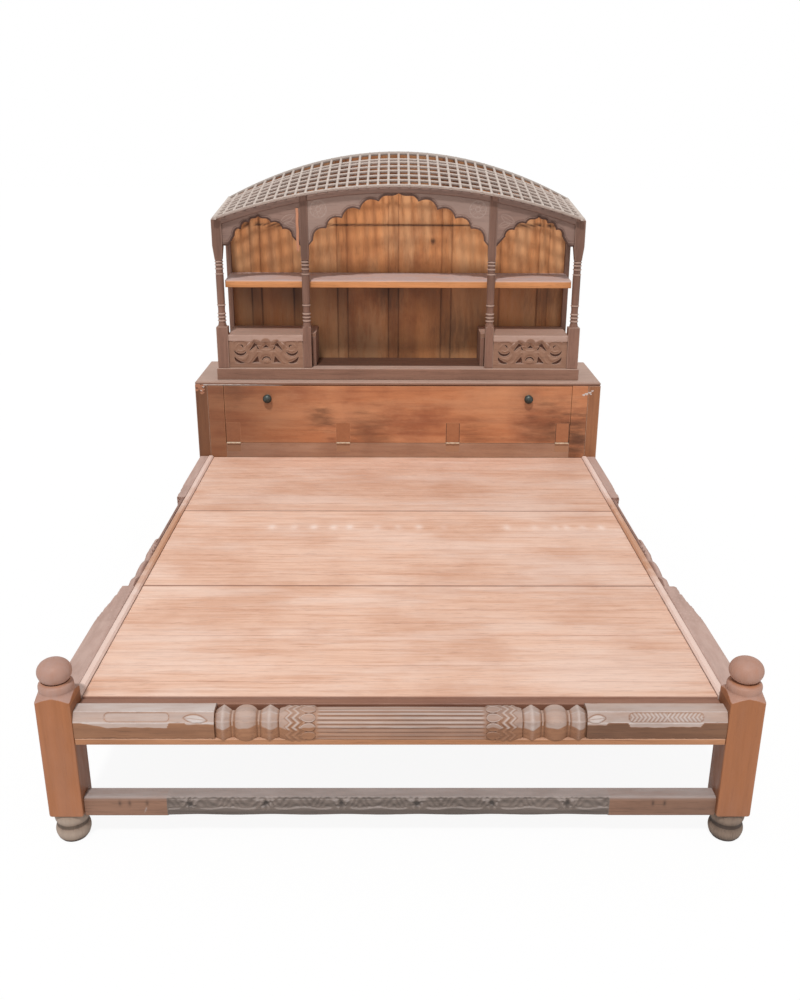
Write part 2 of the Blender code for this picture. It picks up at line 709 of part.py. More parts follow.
def cabinet():
    """The storage cabinet behind the deck: uprights, rail, boards, drop flap and hinges."""
    for name, side in (("left", -1), ("right", 1)):
        cabinet_side(name, side)
    reach = stile_inner - SEAT_GAP
    inside = cabinet_front + STILE_THICK
    back = cabinet_rear - CABINET_BACK_THICK
    rail = board("cabinet_bottom_rail", "red_teak", (-reach, reach), (cabinet_front, inside),
                 (rail_top - RAIL_HEIGHT, rail_top), 0)
    board("cabinet_top", "red_teak", (-cabinet_half, cabinet_half),
          (cabinet_front, cabinet_rear), (top_underside, CABINET_HEIGHT), LIP_EASE)
    floor = stile_outer - SEAT_GAP
    board("cabinet_floor", "niche_teak", (-floor, floor), (inside + SEAT_GAP, back - SEAT_GAP),
          (rail_top - CABINET_FLOOR_THICK, rail_top))
    wide = cabinet_half - SIDE_PANEL_THICK - SEAT_GAP
    board("cabinet_back", "niche_teak", (-wide, wide), (back, cabinet_rear),
          (CABINET_BACK_BOTTOM, top_underside - SEAT_GAP))
    flap_axis = bpy.data.objects.new("flap_axis", None)
    flap_axis.parent = bed
    flap_axis.location = (0, hinge_y, hinge_z)
    parts.objects.link(flap_axis)
    flap_reach = stile_inner - FLAP_CLEARANCE
    flap = board("cabinet_flap", "red_teak", (-flap_reach, flap_reach),
                 (cabinet_front, cabinet_front + FLAP_THICK),
                 (rail_top + FLAP_CLEARANCE, top_underside - FLAP_CLEARANCE), 0, flap_axis)
    outer_hinge = stile_inner - HINGE_END_INSET
    for i in range(HINGE_COUNT):
        x = outer_hinge * (2 * i / (HINGE_COUNT - 1) - 1)
        high = hinge_z + FLAP_LEAF_HEIGHT + SEAT_GAP
        low = hinge_z - FRAME_LEAF_HEIGHT - SEAT_GAP
        combine(flap, leaf_cutter(f"flap_pocket_{i + 1}", x, hinge_z, high), "DIFFERENCE")
        combine(rail, leaf_cutter(f"rail_pocket_{i + 1}", x, low, hinge_z), "DIFFERENCE")
        hinge(i + 1, x, flap_axis)
    for name, side in (("left", -1), ("right", 1)):
        knob(name, side, flap_axis)


def roof_height(x, y):
    """The middle of the lattice: straight from the front curve to the back curve."""
    back = (y - roof_front_y) / (roof_back_y - roof_front_y)
    half = ROOF_FRONT_HALF_WIDTH + (ROOF_BACK_HALF_WIDTH - ROOF_FRONT_HALF_WIDTH) * back
    apex = arch_spring + ROOF_FRONT_RISE + ROOF_BACK_RISE * back
    drop = ROOF_FRONT_DROP + (ROOF_BACK_DROP - ROOF_FRONT_DROP) * back
    return apex - drop * (x / half) ** 2


def under_roof(x, y):
    """Where a piece under the lattice ends: half a bar below its middle, square to the slope."""
    depth = roof_back_y - roof_front_y
    rise = (roof_height(x, roof_back_y) - roof_height(x, roof_front_y)) / depth
    fall = 2 * ROOF_BACK_DROP * x / ROOF_BACK_HALF_WIDTH ** 2
    return roof_height(x, y) - LATTICE_BAR / 2 * sqrt(1 + rise ** 2 + fall ** 2) - SEAT_GAP


def turned_rings(start, end, count):
    """A row of rings with grooves between them."""
    pitch = (end - start) / count
    rise = (1 - RING_FLAT_SHARE) / 2
    stations = []
    for i in range(count):
        stations.append(section(start + i * pitch, COLUMN_GROOVE, "round"))
        stations.append(section(start + (i + rise) * pitch, COLUMN_RING, "round"))
        stations.append(section(start + (i + 1 - rise) * pitch, COLUMN_RING, "round"))
    return stations


def jharokha_column(name, x, block, head):
    """A turned column: square block, rings, plain shaft, rings and a square head."""
    z = base_top + SEAT_GAP
    stations = [section(z, block, "square"), section(block_top, block, "square")]
    z = block_top
    stations += turned_rings(z + SEAT_GAP, z + LOWER_TURNING_LENGTH, LOWER_RINGS)
    stations.append(section(z + LOWER_TURNING_LENGTH, COLUMN_SHAFT, "round"))
    stations.append(section(shaft_top, COLUMN_SHAFT, "round"))
    z = shaft_top
    stations += turned_rings(z + SEAT_GAP, z + UPPER_TURNING_LENGTH, UPPER_RINGS)
    stations.append(section(z + UPPER_TURNING_LENGTH, COLUMN_GROOVE, "square"))
    stations.append(section(arch_spring, head, "square"))
    outer_corner = abs(x) + head / 2
    top = under_roof(outer_corner, jharokha_column_y - head / 2)
    stations.append(section(top, head, "square"))
    column = lofted(f"{name}_column", "dark_teak", stations, JHAROKHA_COLUMN_SIDES)
    column.location = (x, jharokha_column_y, 0)


def cusped_edge(low, high, rise, lobes, last_cusp):
    """The scalloped lower edge of an arch: cusps on a pointed curve, an arc between each two and
    a straight end beside each column."""
    middle, half = (low + high) / 2, (high - low) / 2
    turns = [CUSP_CROWDING_ANGLE * i / lobes for i in range(1, lobes + 1)]
    shares = [last_cusp * sin(turn) / sin(CUSP_CROWDING_ANGLE) for turn in turns]
    cusps = [(middle, arch_spring + rise)]
    for share in shares + [1.0]:
        fall = ARCH_STRAIGHT_SHARE * share + (1 - ARCH_STRAIGHT_SHARE) * share ** ARCH_STEEPNESS
        cusps.append((middle + half * share, arch_spring + rise * (1 - fall)))
    right = [cusps[0]]
    bulges = [TOP_LOBE_BULGE_SHARE] + [LOBE_BULGE_SHARE] * (lobes - 1)
    for (x0, z0), (x1, z1), bulge in zip(cusps, cusps[1:], bulges):
        for k in range(1, LOBE_STEPS + 1):
            t = k / LOBE_STEPS
            out = 4 * bulge * t * (1 - t)
            right.append((x0 + (x1 - x0) * t + out * (z0 - z1), z0 + (z1 - z0) * t + out * (x1 - x0)))
    right.append(cusps[-1])
    left = [(2 * middle - x, z) for x, z in reversed(right[1:])]
    return left + right


def top_curve(low, high, drop):
    """Points along the underside of the roof's front edge, from right to left."""
    shares = [i / ARCH_TOP_STEPS for i in range(ARCH_TOP_STEPS + 1)]
    return [(high + (low - high) * s, under_roof(high + (low - high) * s, band_front) - drop)
            for s in shares]


def arch(name, low, high, rise, lobes, last_cusp):
    """A cusped fascia between two column heads, with the eave moulding along its top."""
    overlap = EAVE_BAND_HEIGHT / 2
    points = cusped_edge(low, high, rise, lobes, last_cusp) + top_curve(low, high, overlap)
    plate_y = jharokha_front + ARCH_INSET + ARCH_THICK / 2
    fascia = as_mesh(outline(name, "dark_teak", points, ARCH_THICK, ALONG_X_Z_Y, (0, plate_y, 0)))
    lower = list(reversed(top_curve(low, high, EAVE_BAND_HEIGHT)))
    band_y = band_front + EAVE_BAND_DEPTH / 2
    band = as_mesh(outline(f"{name}_eave", "dark_teak", lower + top_curve(low, high, 0),
                           EAVE_BAND_DEPTH, ALONG_X_Z_Y, (0, band_y, 0)))
    combine(fascia, band, "UNION")


def carved_box(name, side):
    """The box between an outer and an inner column: carved front, top board and inner side."""
    near = INNER_COLUMN_PLACE + INNER_BLOCK / 2 + SEAT_GAP
    far = OUTER_COLUMN_PLACE - OUTER_BLOCK / 2 - SEAT_GAP
    face = jharokha_front + BOX_FRONT_INSET
    back = face + BOX_FRONT_THICK
    bottom = base_top + SEAT_GAP
    lip = box_top - BOX_LIP_HEIGHT
    profile = [(face, bottom), (back, bottom), (back, box_top), (face - BOX_LIP_PROUD, box_top),
               (face - BOX_LIP_PROUD, lip), (face, lip)]
    outline(f"{name}_box_front", "dark_teak", profile, far - near, ALONG_Y_Z_X,
            (side * (near + far) / 2, 0, 0))
    inner = INNER_COLUMN_PLACE - INNER_BLOCK / 2
    rear = back_face - BATTEN_PROUD - SEAT_GAP
    front = back + SEAT_GAP
    behind = column_back_y + SEAT_GAP
    inner_edge = inner - BOX_SIDE_THICK
    outer_edge = rear_post_inner - SEAT_GAP
    corners = [(near, front), (far, front), (far, behind), (outer_edge, behind), (outer_edge, rear),
               (inner_edge, rear), (inner_edge, behind), (near, behind)]
    outline(f"{name}_box_top", "dark_teak", [(side * x, y) for x, y in corners], BOX_TOP_THICK,
            place=(0, 0, box_top - BOX_TOP_THICK / 2))
    board(f"{name}_box_side", "dark_teak", sided(side, inner_edge, inner), (behind, rear),
          (base_top + SEAT_GAP, box_top - BOX_TOP_THICK - SEAT_GAP))


def side_frame(name, side):
    """A rear post with the fascia that runs forward from its head to the outer column."""
    rear = rear_post_front + REAR_POST_DEPTH
    front = column_back_y + SEAT_GAP
    bottom = CABINET_HEIGHT + SEAT_GAP
    outer = REAR_POST_PLACE + REAR_POST_WIDTH / 2
    points = [(rear_post_front, bottom), (rear, bottom), (rear, under_roof(outer, rear)),
              (front, under_roof(outer, front)), (front, arch_spring + SIDE_FASCIA_RISE),
              (rear_post_front, arch_spring + SIDE_FASCIA_RISE)]
    outline(f"{name}_side_frame", "dark_teak", points, REAR_POST_WIDTH, ALONG_Y_Z_X,
            (side * REAR_POST_PLACE, 0, 0))


def shelf():
    """The shelf behind the columns, narrowed at the back to pass between the rear posts."""
    front = jharokha_column_y + COLUMN_SHAFT / 2 + SEAT_GAP
    step = rear_post_front - SEAT_GAP
    rear = back_face - BATTEN_PROUD - SEAT_GAP
    narrow = rear_post_inner - SEAT_GAP
    right = [(SHELF_HALF_WIDTH, front), (SHELF_HALF_WIDTH, step), (narrow, step), (narrow, rear)]
    left = [(-x, y) for x, y in reversed(right)]
    outline("shelf", "orange_teak", right + left, SHELF_THICK,
            place=(0, 0, base_top + SHELF_RISE - SHELF_THICK / 2))


def back_panel():
    """The boards at the back, arched at the top, with a cover batten on each joint."""
    half = rear_post_inner - SEAT_GAP
    bottom = CABINET_HEIGHT + SEAT_GAP
    front = back_face - BATTEN_PROUD
    shares = [1 - 2 * i / ARCH_TOP_STEPS for i in range(ARCH_TOP_STEPS + 1)]
    points = [(-half, bottom), (half, bottom)]
    points += [(half * s, under_roof(half * s, back_face)) for s in shares]
    place = (0, back_face + BACK_BOARD_THICK / 2, 0)
    panel = as_mesh(outline("back_panel", "niche_teak", points, BACK_BOARD_THICK, ALONG_X_Z_Y, place))
    for k in range(-BATTENS_EACH_SIDE, BATTENS_EACH_SIDE + 1):
        x = k * BATTEN_SPACING
        top = under_roof(abs(x) + BATTEN_WIDTH / 2, front)
        batten = board(f"batten_{k + BATTENS_EACH_SIDE + 1}", "niche_teak",
                       (x - BATTEN_WIDTH / 2, x + BATTEN_WIDTH / 2),
                       (front, back_face + BACK_BOARD_THICK / 2), (bottom + SEAT_GAP, top), 0)
        combine(panel, batten, "UNION")


def roof_lattice():
    """The open lattice of bars that slopes from the back panel down to the eaves."""
    bpy.ops.mesh.primitive_grid_add(x_subdivisions=LATTICE_COLUMNS, y_subdivisions=LATTICE_ROWS, size=2)
    grid = bpy.context.object
    mesh = grid.data
    mesh.name = "roof_lattice"
    bpy.data.objects.remove(grid, do_unlink=True)
    for vertex in mesh.vertices:
        share = (vertex.co.y + 1) / 2
        half = ROOF_FRONT_HALF_WIDTH + (ROOF_BACK_HALF_WIDTH - ROOF_FRONT_HALF_WIDTH) * share
        x, y = vertex.co.x * half, roof_front_y + (roof_back_y - roof_front_y) * share
        vertex.co = (x, y, roof_height(x, y))
    lattice = add("roof_lattice", mesh, "grey_teak")
    bars = lattice.modifiers.new("bars", "WIREFRAME")
    bars.thickness = LATTICE_BAR
    bars.use_even_offset = True
    bars.use_boundary = True


def jharokha():
    """The balcony window that stands on the cabinet."""
    rail_front = jharokha_front - BASE_RAIL_PROUD
    board("jharokha_base_rail", "dark_teak", (-BASE_HALF_WIDTH, BASE_HALF_WIDTH),
          (rail_front, base_back), (CABINET_HEIGHT + SEAT_GAP, base_top))
    wide = rear_post_inner - SEAT_GAP
    board("niche_floor", "dark_teak", (-wide, wide),
          (base_back + SEAT_GAP, back_face - BATTEN_PROUD - SEAT_GAP),
          (base_top - NICHE_FLOOR_THICK, base_top))
    for name, side in (("left", -1), ("right", 1)):
        jharokha_column(f"{name}_outer", side * OUTER_COLUMN_PLACE, OUTER_BLOCK, OUTER_HEAD)
        jharokha_column(f"{name}_inner", side * INNER_COLUMN_PLACE, INNER_BLOCK, INNER_HEAD)
        carved_box(name, side)
        side_frame(name, side)
    shelf()
    inner = INNER_COLUMN_PLACE - INNER_HEAD / 2 - SEAT_GAP
    near = INNER_COLUMN_PLACE + INNER_HEAD / 2 + SEAT_GAP
    far = OUTER_COLUMN_PLACE - OUTER_HEAD / 2 - SEAT_GAP
    arch("centre_arch", -inner, inner, CENTRE_ARCH_RISE, CENTRE_LOBES, CENTRE_LAST_CUSP_SHARE)
    arch("left_arch", -far, -near, SIDE_ARCH_RISE, SIDE_LOBES, SIDE_LAST_CUSP_SHARE)
    arch("right_arch", near, far, SIDE_ARCH_RISE, SIDE_LOBES, SIDE_LAST_CUSP_SHARE)
    back_panel()
    roof_lattice()


for post_name, post_side in (("left", -1), ("right", 1)):
    post_and_foot(post_name, post_side)
    side_rail(post_name, post_side)
front_rail()
front_stretcher()
deck()
cabinet()
jharokha()
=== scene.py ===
# %% [markdown]
# # A carved teak bed
# This lesson dresses the solid model of an old Indian bed: a low frame on two square posts, a
# deck of loose boards, a storage cabinet at the head and a small balcony window on top of it.
# The solids give every size. Here the plain ones get wood, and the carved ones are made again
# as fine surfaces, in the same place.

# %% Load the frame
from math import cos, pi, radians, sin, sqrt

import bmesh
import bpy
import numpy as np
from mathutils import Matrix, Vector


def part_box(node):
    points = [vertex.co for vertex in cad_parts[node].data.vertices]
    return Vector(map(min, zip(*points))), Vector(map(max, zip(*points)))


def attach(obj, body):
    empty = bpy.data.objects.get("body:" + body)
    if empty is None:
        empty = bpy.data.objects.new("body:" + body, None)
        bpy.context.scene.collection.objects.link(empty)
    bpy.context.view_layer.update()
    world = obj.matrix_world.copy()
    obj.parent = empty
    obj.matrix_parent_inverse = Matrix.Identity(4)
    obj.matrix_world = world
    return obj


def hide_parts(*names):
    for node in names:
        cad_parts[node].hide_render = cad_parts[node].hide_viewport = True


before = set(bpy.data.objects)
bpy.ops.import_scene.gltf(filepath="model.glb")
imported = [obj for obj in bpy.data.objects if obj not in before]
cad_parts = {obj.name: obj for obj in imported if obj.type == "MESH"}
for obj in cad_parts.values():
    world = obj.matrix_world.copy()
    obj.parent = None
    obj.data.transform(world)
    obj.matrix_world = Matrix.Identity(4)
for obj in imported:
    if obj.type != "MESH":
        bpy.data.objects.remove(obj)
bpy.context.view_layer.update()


def node_box(name):
    """The lowest and highest corner of a solid, as arrays."""
    low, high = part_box(name)
    return np.array(low), np.array(high)


# The front faces of the posts: every y below is measured from here towards the head
FRONT = node_box("left_post")[0][1]
print("front of the posts at", round(FRONT, 4))

# %% [markdown]
# ## From numbers to a mesh
# A carver thinks of a surface that is pushed in and out. Numpy can do the same: a grid of points
# is worked out as one array, and neighbouring points are joined by faces. Each point also keeps
# how far it stands out of the wood around it, because hands and dust mark the high places, and
# the colour of the wood follows that number later. In some places the number also holds painted
# shade and painted highlights.

# %% Grids of points
MERGE_DISTANCE = 1e-6


def grid(x, y, z):
    """Points from three arrays, each stretched to the shape that all three share."""
    return np.stack(np.broadcast_arrays(x, y, z), -1)


def joined(rows, columns):
    """The corner numbers of the faces between neighbouring points of a grid, whose last column
    is joined to the first one."""
    index = np.arange(rows * columns).reshape(rows, columns)
    index = np.hstack([index, index[:, :1]])
    corners = [index[:-1, :-1], index[:-1, 1:], index[1:, 1:], index[1:, :-1]]
    return np.stack(corners, -1).reshape(-1, 4)


def closed(points, relief):
    """A tube with its ends shut: a row on the middle of the first ring and one on the last."""
    first, last = [np.broadcast_to(ring.mean(1, keepdims=True), ring.shape)
                   for ring in (points[:1], points[-1:])]
    relief = np.broadcast_to(relief, points.shape[:2])
    return np.concatenate([first, points, last]), np.pad(relief, ((1, 1), (0, 0)), mode="edge")


def piece(name, sheets, material, nodes, body="bed", crease=35):
    """An object from sheets of (points, relief). The points are a grid, or a stack of equal
    grids. Doubles are merged, faces turned outwards and folds over crease kept sharp."""
    points, relief, faces, start = [], [], [], 0
    for net, out in sheets:
        rows, columns = net.shape[-3:-1]
        stack = net.reshape(-1, rows * columns, 3)
        steps = start + rows * columns * np.arange(len(stack))
        faces.append((joined(rows, columns) + steps[:, None, None]).reshape(-1, 4))
        points.append(stack.reshape(-1, 3))
        relief.append(np.broadcast_to(out, net.shape[:-1]).ravel())
        start += stack.shape[0] * stack.shape[1]
    mesh = bpy.data.meshes.new(name)
    mesh.from_pydata(np.concatenate(points).tolist(), [], np.concatenate(faces).tolist())
    heights = mesh.attributes.new("relief", "FLOAT", "POINT")
    heights.data.foreach_set("value", np.concatenate(relief))
    shape = bmesh.new()
    shape.from_mesh(mesh)
    bmesh.ops.remove_doubles(shape, verts=shape.verts, dist=MERGE_DISTANCE)
    bmesh.ops.recalc_face_normals(shape, faces=shape.faces)
    shape.to_mesh(mesh)
    shape.free()
    mesh.polygons.foreach_set("use_smooth", np.ones(len(mesh.polygons), dtype=bool))
    mesh.set_sharp_from_angle(angle=radians(crease))
    mesh.materials.append(material)
    made = bpy.data.objects.new(name, mesh)
    bpy.context.collection.objects.link(made)
    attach(made, body)
    if nodes:
        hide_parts(*nodes)
    print(name, "has", len(mesh.polygons), "faces")


# %% Curves
def runs(*parts):
    """Places along a line. Each part is (from, to, how many)."""
    return np.concatenate([np.linspace(*part) for part in parts])


def circle(count):
    """Equal steps of angle round a full turn."""
    return np.linspace(0, 2 * pi, count, endpoint=False)


def bump(distance, width):
    """A smooth mound: 1 in the middle, falling to nothing about two widths away."""
    return np.exp(-(distance / width) ** 2)


def step(value, low, high):
    """A soft step from 0 at low to 1 at high: 3t^2 - 2t^3."""
    t = np.clip((value - low) / (high - low), 0, 1)
    return t * t * (3 - 2 * t)


def polygon(angle, sides):
    """The reach of a polygon whose sides lie one unit away: 1 over the largest of
    cos(a - k 2pi/n)."""
    return 1 / np.max([np.cos(angle - k * 2 * pi / sides) for k in range(sides)], axis=0)


def soft_square(angle, power, wide=1.0, deep=1.0):
    """The reach of a square with eased corners: (|cos a / w|^p + |sin a / d|^p)^(-1/p)."""
    sides = np.abs(np.cos(angle) / wide) ** power + np.abs(np.sin(angle) / deep) ** power
    return sides ** (-1 / power)


print("a square with eased corners reaches", soft_square(radians(45), 20).round(3), "at its corner")

# %% [markdown]
# ## Teak
# Teak is a brown, oily wood with long dark streaks and open pores. On this bed old, weathered
# pieces meet newer, oiled ones. One recipe makes them all: streaks drawn out along the grain,
# cloudy stain, fine pores, pale wear on high places, dark dirt in low ones, and dust on top. The
# same pale and dark also carry painted highlights and painted shade, and the pale on top is
# partly painted light from above.


# %% Colours and nodes
def linear(code):
    """A hex colour as the eye reads it, turned to the linear values that light adds up in."""
    shade = np.array([int(code[i:i + 2], 16) for i in (0, 2, 4)]) / 255
    shade = np.where(shade <= 0.04045, shade / 12.92, ((shade + 0.055) / 1.055) ** 2.4)
    return (*shade.tolist(), 1.0)


def add(tree, kind, inputs=None, output=0, **settings):
    """Adds a node and gives one of its outputs. A setting is set on the node, an input is set or
    linked on its socket."""
    node = tree.nodes.new(f"ShaderNode{kind}")
    for name, value in settings.items():
        setattr(node, name, value)
    for name, value in (inputs or {}).items():
        if isinstance(value, bpy.types.NodeSocket):
            tree.links.new(value, node.inputs[name])
        else:
            node.inputs[name].default_value = value
    return node.outputs[output] if node.outputs else None


def new_material(name):
    """An empty material and its node tree."""
    material = bpy.data.materials.new(name)
    material.use_nodes = True
    material.node_tree.nodes.clear()
    return material, material.node_tree


# %% The teak recipe
GRAIN_DRAW = 0.045      # the streaks are some 22 times longer than wide
PORE_MM = 2.6           # real pores are finer: drawn this coarse so that they show
CLOUD_MM = 330          # patches of old stain and polish
BLEACH_MM = 120         # pale patches, drawn out a little along the grain
SPECK_MM = 22           # breaks up worn edges and dust
DRIFT = (3.1, 1.7, 0.4) # moves the specks away from the streaks
EDGE_M = 0.006          # how wide an edge wears
GRAIN_M = 0.0010        # how deep the grain is
SHEEN = 0.35            # oiled wood shines less than varnish


def teak(name, heart, streak, pale, ground, along, streak_mm=16, figure=0.6, stain=0.35, bleach=0.0,
         dust=0.0, wear=0.0, rough=0.55, relief=0.8, shade=None, pore=0.35, spots=()):
    """Teak with its grain along one axis. heart and streak are the wood, pale the worn and dusty
    places and painted highlights, ground the dirt in the recesses and painted shade. figure is
    the strength of the streaks, stain and bleach that of dark and pale clouds, pore that of the
    pores. dust and wear bleach the upward faces and the edges; the pale upward faces are dust and
    also painted light from above. shade = (axis, start, stop, amount) darkens the wood towards
    ground along an axis. Each of the spots, (place, radius, amount), is one dark stain with a
    ragged edge."""
    material, tree = new_material(name)
    here = add(tree, "TexCoord", output="Object")
    draw = [GRAIN_DRAW if axis == along else 1.0 for axis in "XYZ"]
    fibre = add(tree, "Mapping", {"Vector": here, "Scale": draw})
    drift = add(tree, "Mapping", {"Vector": here, "Scale": [sqrt(share) for share in draw],
                                  "Location": DRIFT})
    streaks, pores, clouds, specks, faded = [
        add(tree, "TexNoise", {"Vector": vector, "Scale": 1000 / size, "Detail": detail,
                               "Roughness": fine, "Distortion": bend})
        for vector, size, detail, fine, bend in (
            (fibre, streak_mm, 6.0, 0.62, 0.4), (fibre, PORE_MM, 2.0, 0.60, 0.0),
            (here, CLOUD_MM, 5.0, 0.60, 0.0), (drift, SPECK_MM, 4.0, 0.65, 0.0),
            (drift, BLEACH_MM, 6.0, 0.65, 0.0))]
    layers = [(streaks, 0.40, 0.72, figure, streak), (clouds, 0.42, 0.68, stain, streak),
              (pores, 0.56, 0.72, pore, ground), (faded, 0.42, 0.66, bleach, pale)]
    if shade:
        axis, start, stop, amount = shade
        where = add(tree, "SeparateXYZ", {0: here}, axis)
        where = add(tree, "Math", {0: clouds, 1: 0.5, 2: where}, operation="MULTIPLY_ADD")
        layers.append((where, start + 0.25, stop + 0.25, amount, ground))
    for middle, radius, amount in spots:
        far = add(tree, "VectorMath", {0: here, 1: middle}, "Value", operation="DISTANCE")
        far = add(tree, "Math", {0: specks, 1: 2.6 * radius, 2: far}, operation="MULTIPLY_ADD")
        layers.append((far, 2.5 * radius, 1.1 * radius, amount, ground))
    wood = linear(heart)
    for source, none, full, amount, colour in layers:
        if amount:
            share = add(tree, "MapRange", {0: source, 1: none, 2: full, 3: 0.0, 4: amount},
                        interpolation_type="SMOOTHSTEP")
            wood = add(tree, "Mix", {0: share, 6: wood, 7: linear(colour)}, 2, data_type="RGBA")
    height = add(tree, "Attribute", output="Fac", attribute_name="relief")
    # Relief below 0 mixes in ground: dirt, and painted shade where a piece paints it. Above 0 it mixes
    # in pale: wear, and painted highlights where a piece paints it.
    low, worn = [add(tree, "MapRange", {0: height, 1: 0.0, 2: end, 3: 0.0, 4: relief})
                 for end in (-1.0, 1.0)]
    # Upward faces turn pale: dust, and also painted light from above.
    if dust:
        up = add(tree, "SeparateXYZ", {0: add(tree, "TexCoord", output="Normal")}, "Z")
        dust_and_top_light = add(tree, "MapRange", {0: up, 1: 0.25, 2: 0.95, 3: 0.0, 4: dust})
        worn = add(tree, "Math", {0: worn, 1: dust_and_top_light}, operation="MAXIMUM")
    if wear:
        eased = add(tree, "Bevel", {"Radius": EDGE_M}, samples=6)
        flat = add(tree, "NewGeometry", output="Normal")
        match = add(tree, "VectorMath", {0: eased, 1: flat}, "Value", operation="DOT_PRODUCT")
        edge = add(tree, "MapRange", {0: match, 1: 0.995, 2: 0.80, 3: 0.0, 4: wear})
        worn = add(tree, "Math", {0: worn, 1: edge}, operation="MAXIMUM")
    patchy = add(tree, "MapRange", {0: specks, 1: 0.34, 2: 0.62, 3: 0.70, 4: 1.0})
    worn = add(tree, "Math", {0: worn, 1: patchy}, operation="MULTIPLY")
    for share, colour in ((low, ground), (worn, pale)):
        wood = add(tree, "Mix", {0: share, 6: wood, 7: linear(colour)}, 2, data_type="RGBA")
    dull = add(tree, "MapRange", {0: specks, 1: 0.3, 2: 0.7, 3: rough - 0.08, 4: rough + 0.12})
    grain = add(tree, "Math", {0: streaks, 1: pores}, operation="ADD")
    surface = add(tree, "Bump", {"Strength": 0.5, "Distance": GRAIN_M, "Height": grain})
    shader = add(tree, "BsdfPrincipled", {"Base Color": wood, "Roughness": dull, "Normal": surface,
                                          "Specular IOR Level": SHEEN})
    add(tree, "OutputMaterial", {"Surface": shader})
    print("material", name)
    return material


# %% Woods of the frame
post_teak = teak("oiled teak of the posts", "A36741", "8A5532", "AE928A", "4A2C1C", "Z", 24, 0.4, 0.3,
                 bleach=0.1, relief=1.0, pore=0.12)
ledge_teak = teak("oiled teak of the ledge", "B07B57", "8E5C3A", "D2B4A2", "4A2C1C", "X", 9,
                  dust=0.4, wear=0.15)
beam_teak = teak("red teak of the front plank", "8A604C", "704738", "9A7463", "4A2A1E", "X", 12,
                 dust=0.15)
old_teak = teak("weathered teak", "9E7052", "704A35", "C8BDB8", "3A2A22", "X", 18, 0.5, 0.5,
                dust=0.25, rough=0.68, relief=0.95)
side_teak = teak("weathered teak of the sides", "92695A", "6A4838", "C6ABA0", "3A2820", "Y", 16,
                 0.5, 0.5, dust=0.7, rough=0.68, relief=0.95)
foot_teak = teak("weathered teak of the feet", "8C7868", "66554A", "AA988A", "382C26", "Z", 12,
                 0.6, 0.5, rough=0.7, relief=0.9)
stretcher_teak = teak("greyed teak", "7C6E66", "5E534C", "A89D99", "2E2A28", "X", 14, 0.6, 0.5,
                      dust=0.9, rough=0.7, relief=0.8)
rail_end_teak = teak("brown teak of the stretcher's ends", "8E6A56", "684C3E", "A39894", "322824",
                     "X", 14, 0.6, 0.5, dust=0.95, rough=0.7, relief=0.8)
deck_teak = teak("scrubbed teak of the deck", "E5BDA6", "C48E70", "F2E0D6", "6B3A2A", "X", 13,
                 0.62, 0.45, bleach=0.30, rough=0.6, shade=("X", -0.4, 0.9, 0.09))

# %% Woods of the cabinet
FLAP_Y = 2.100 + FRONT
FLAP_STAINS = (         # x, z, radius and strength
    (-0.350, 0.562, 0.060, 0.50), (-0.310, 0.558, 0.060, 0.50), (-0.130, 0.470, 0.160, 0.45),
    (0.660, 0.510, 0.160, 0.50), (0.320, 0.455, 0.130, 0.35), (0.790, 0.505, 0.120, 0.55),
    (0.770, 0.415, 0.130, 0.45), (-0.700, 0.690, 0.090, 0.40), (-0.770, 0.415, 0.080, 0.12))
cabinet_teak = teak("oiled teak of the cabinet", "BC7A52", "8A4E34", "D69E76", "45281A", "X", 26,
                    0.50, 0.80, bleach=0.40, wear=0.45, shade=("X", -0.22, -0.85, 0.56), pore=0.2,
                    spots=[((x, FLAP_Y, z), radius, amount) for x, z, radius, amount in FLAP_STAINS])
cabinet_rail_teak = teak("dull teak of the cabinet rail", "A67C62", "845B46", "C9A894", "45281A",
                         "X", 26, 0.45, 0.6, bleach=0.2, wear=0.3, shade=("X", -0.35, -0.90, 0.45),
                         pore=0.2)
corner_teak = teak("oiled teak of the cabinet corners", "9A6644", "683F2A", "C9A996", "45281A", "Z",
                   20, 0.5, 0.6, wear=0.7, shade=("X", 0.0, -0.85, 0.52), pore=0.2)

# %% Woods of the window
BACK_Y = 2.372 + FRONT
BACK_STAINS = ((-0.06, 1.075, 0.100, 0.50), (0.275, 0.900, 0.130, 0.50),
               (0.655, 1.040, 0.120, 0.50), (0.15, 1.285, 0.016, 0.9))
back_teak = teak("oiled teak of the back boards", "DC955F", "905332", "EDBA8A", "3A2218", "Z", 60,
                 0.35, 0.75, bleach=0.5, relief=1.0, shade=("X", -0.1, -0.8, 0.16),
                 spots=[((x, BACK_Y, z), radius, amount) for x, z, radius, amount in BACK_STAINS])
frame_teak = teak("dull teak of the window", "8B6757", "6B4C3E", "B59A8C", "392E2B", "Z", 14, 0.5,
                  0.4, dust=0.4, wear=0.3, rough=0.65, relief=0.9, shade=("Z", 1.02, 1.34, 0.30))
rail_teak = teak("dull teak of the window rails", "8F6A58", "6B4C3E", "B79C8E", "3A2820", "X", 14,
                 0.5, 0.4, dust=0.85, wear=0.5, rough=0.65, relief=0.9)
fascia_teak = teak("dusty teak of the arches", "94786C", "766058", "B8A69C", "432A22", "X", 40, 0.5,
                   0.25, rough=0.72, relief=0.9)
box_teak = teak("dull teak of the carved boxes", "95715C", "765646", "C8ADA2", "623A28", "X", 18,
                0.4, 0.3, dust=0.35, wear=0.3, rough=0.65, relief=0.95)
shelf_teak = teak("teak of the shelf", "D6925F", "AE7442", "B6A29E", "5A3A28", "X", 12, dust=0.95,
                  relief=1.0)
splint_teak = teak("new teak of the repair", "BE8466", "A87052", "D2A283", "5A3A28", "Z", 8)
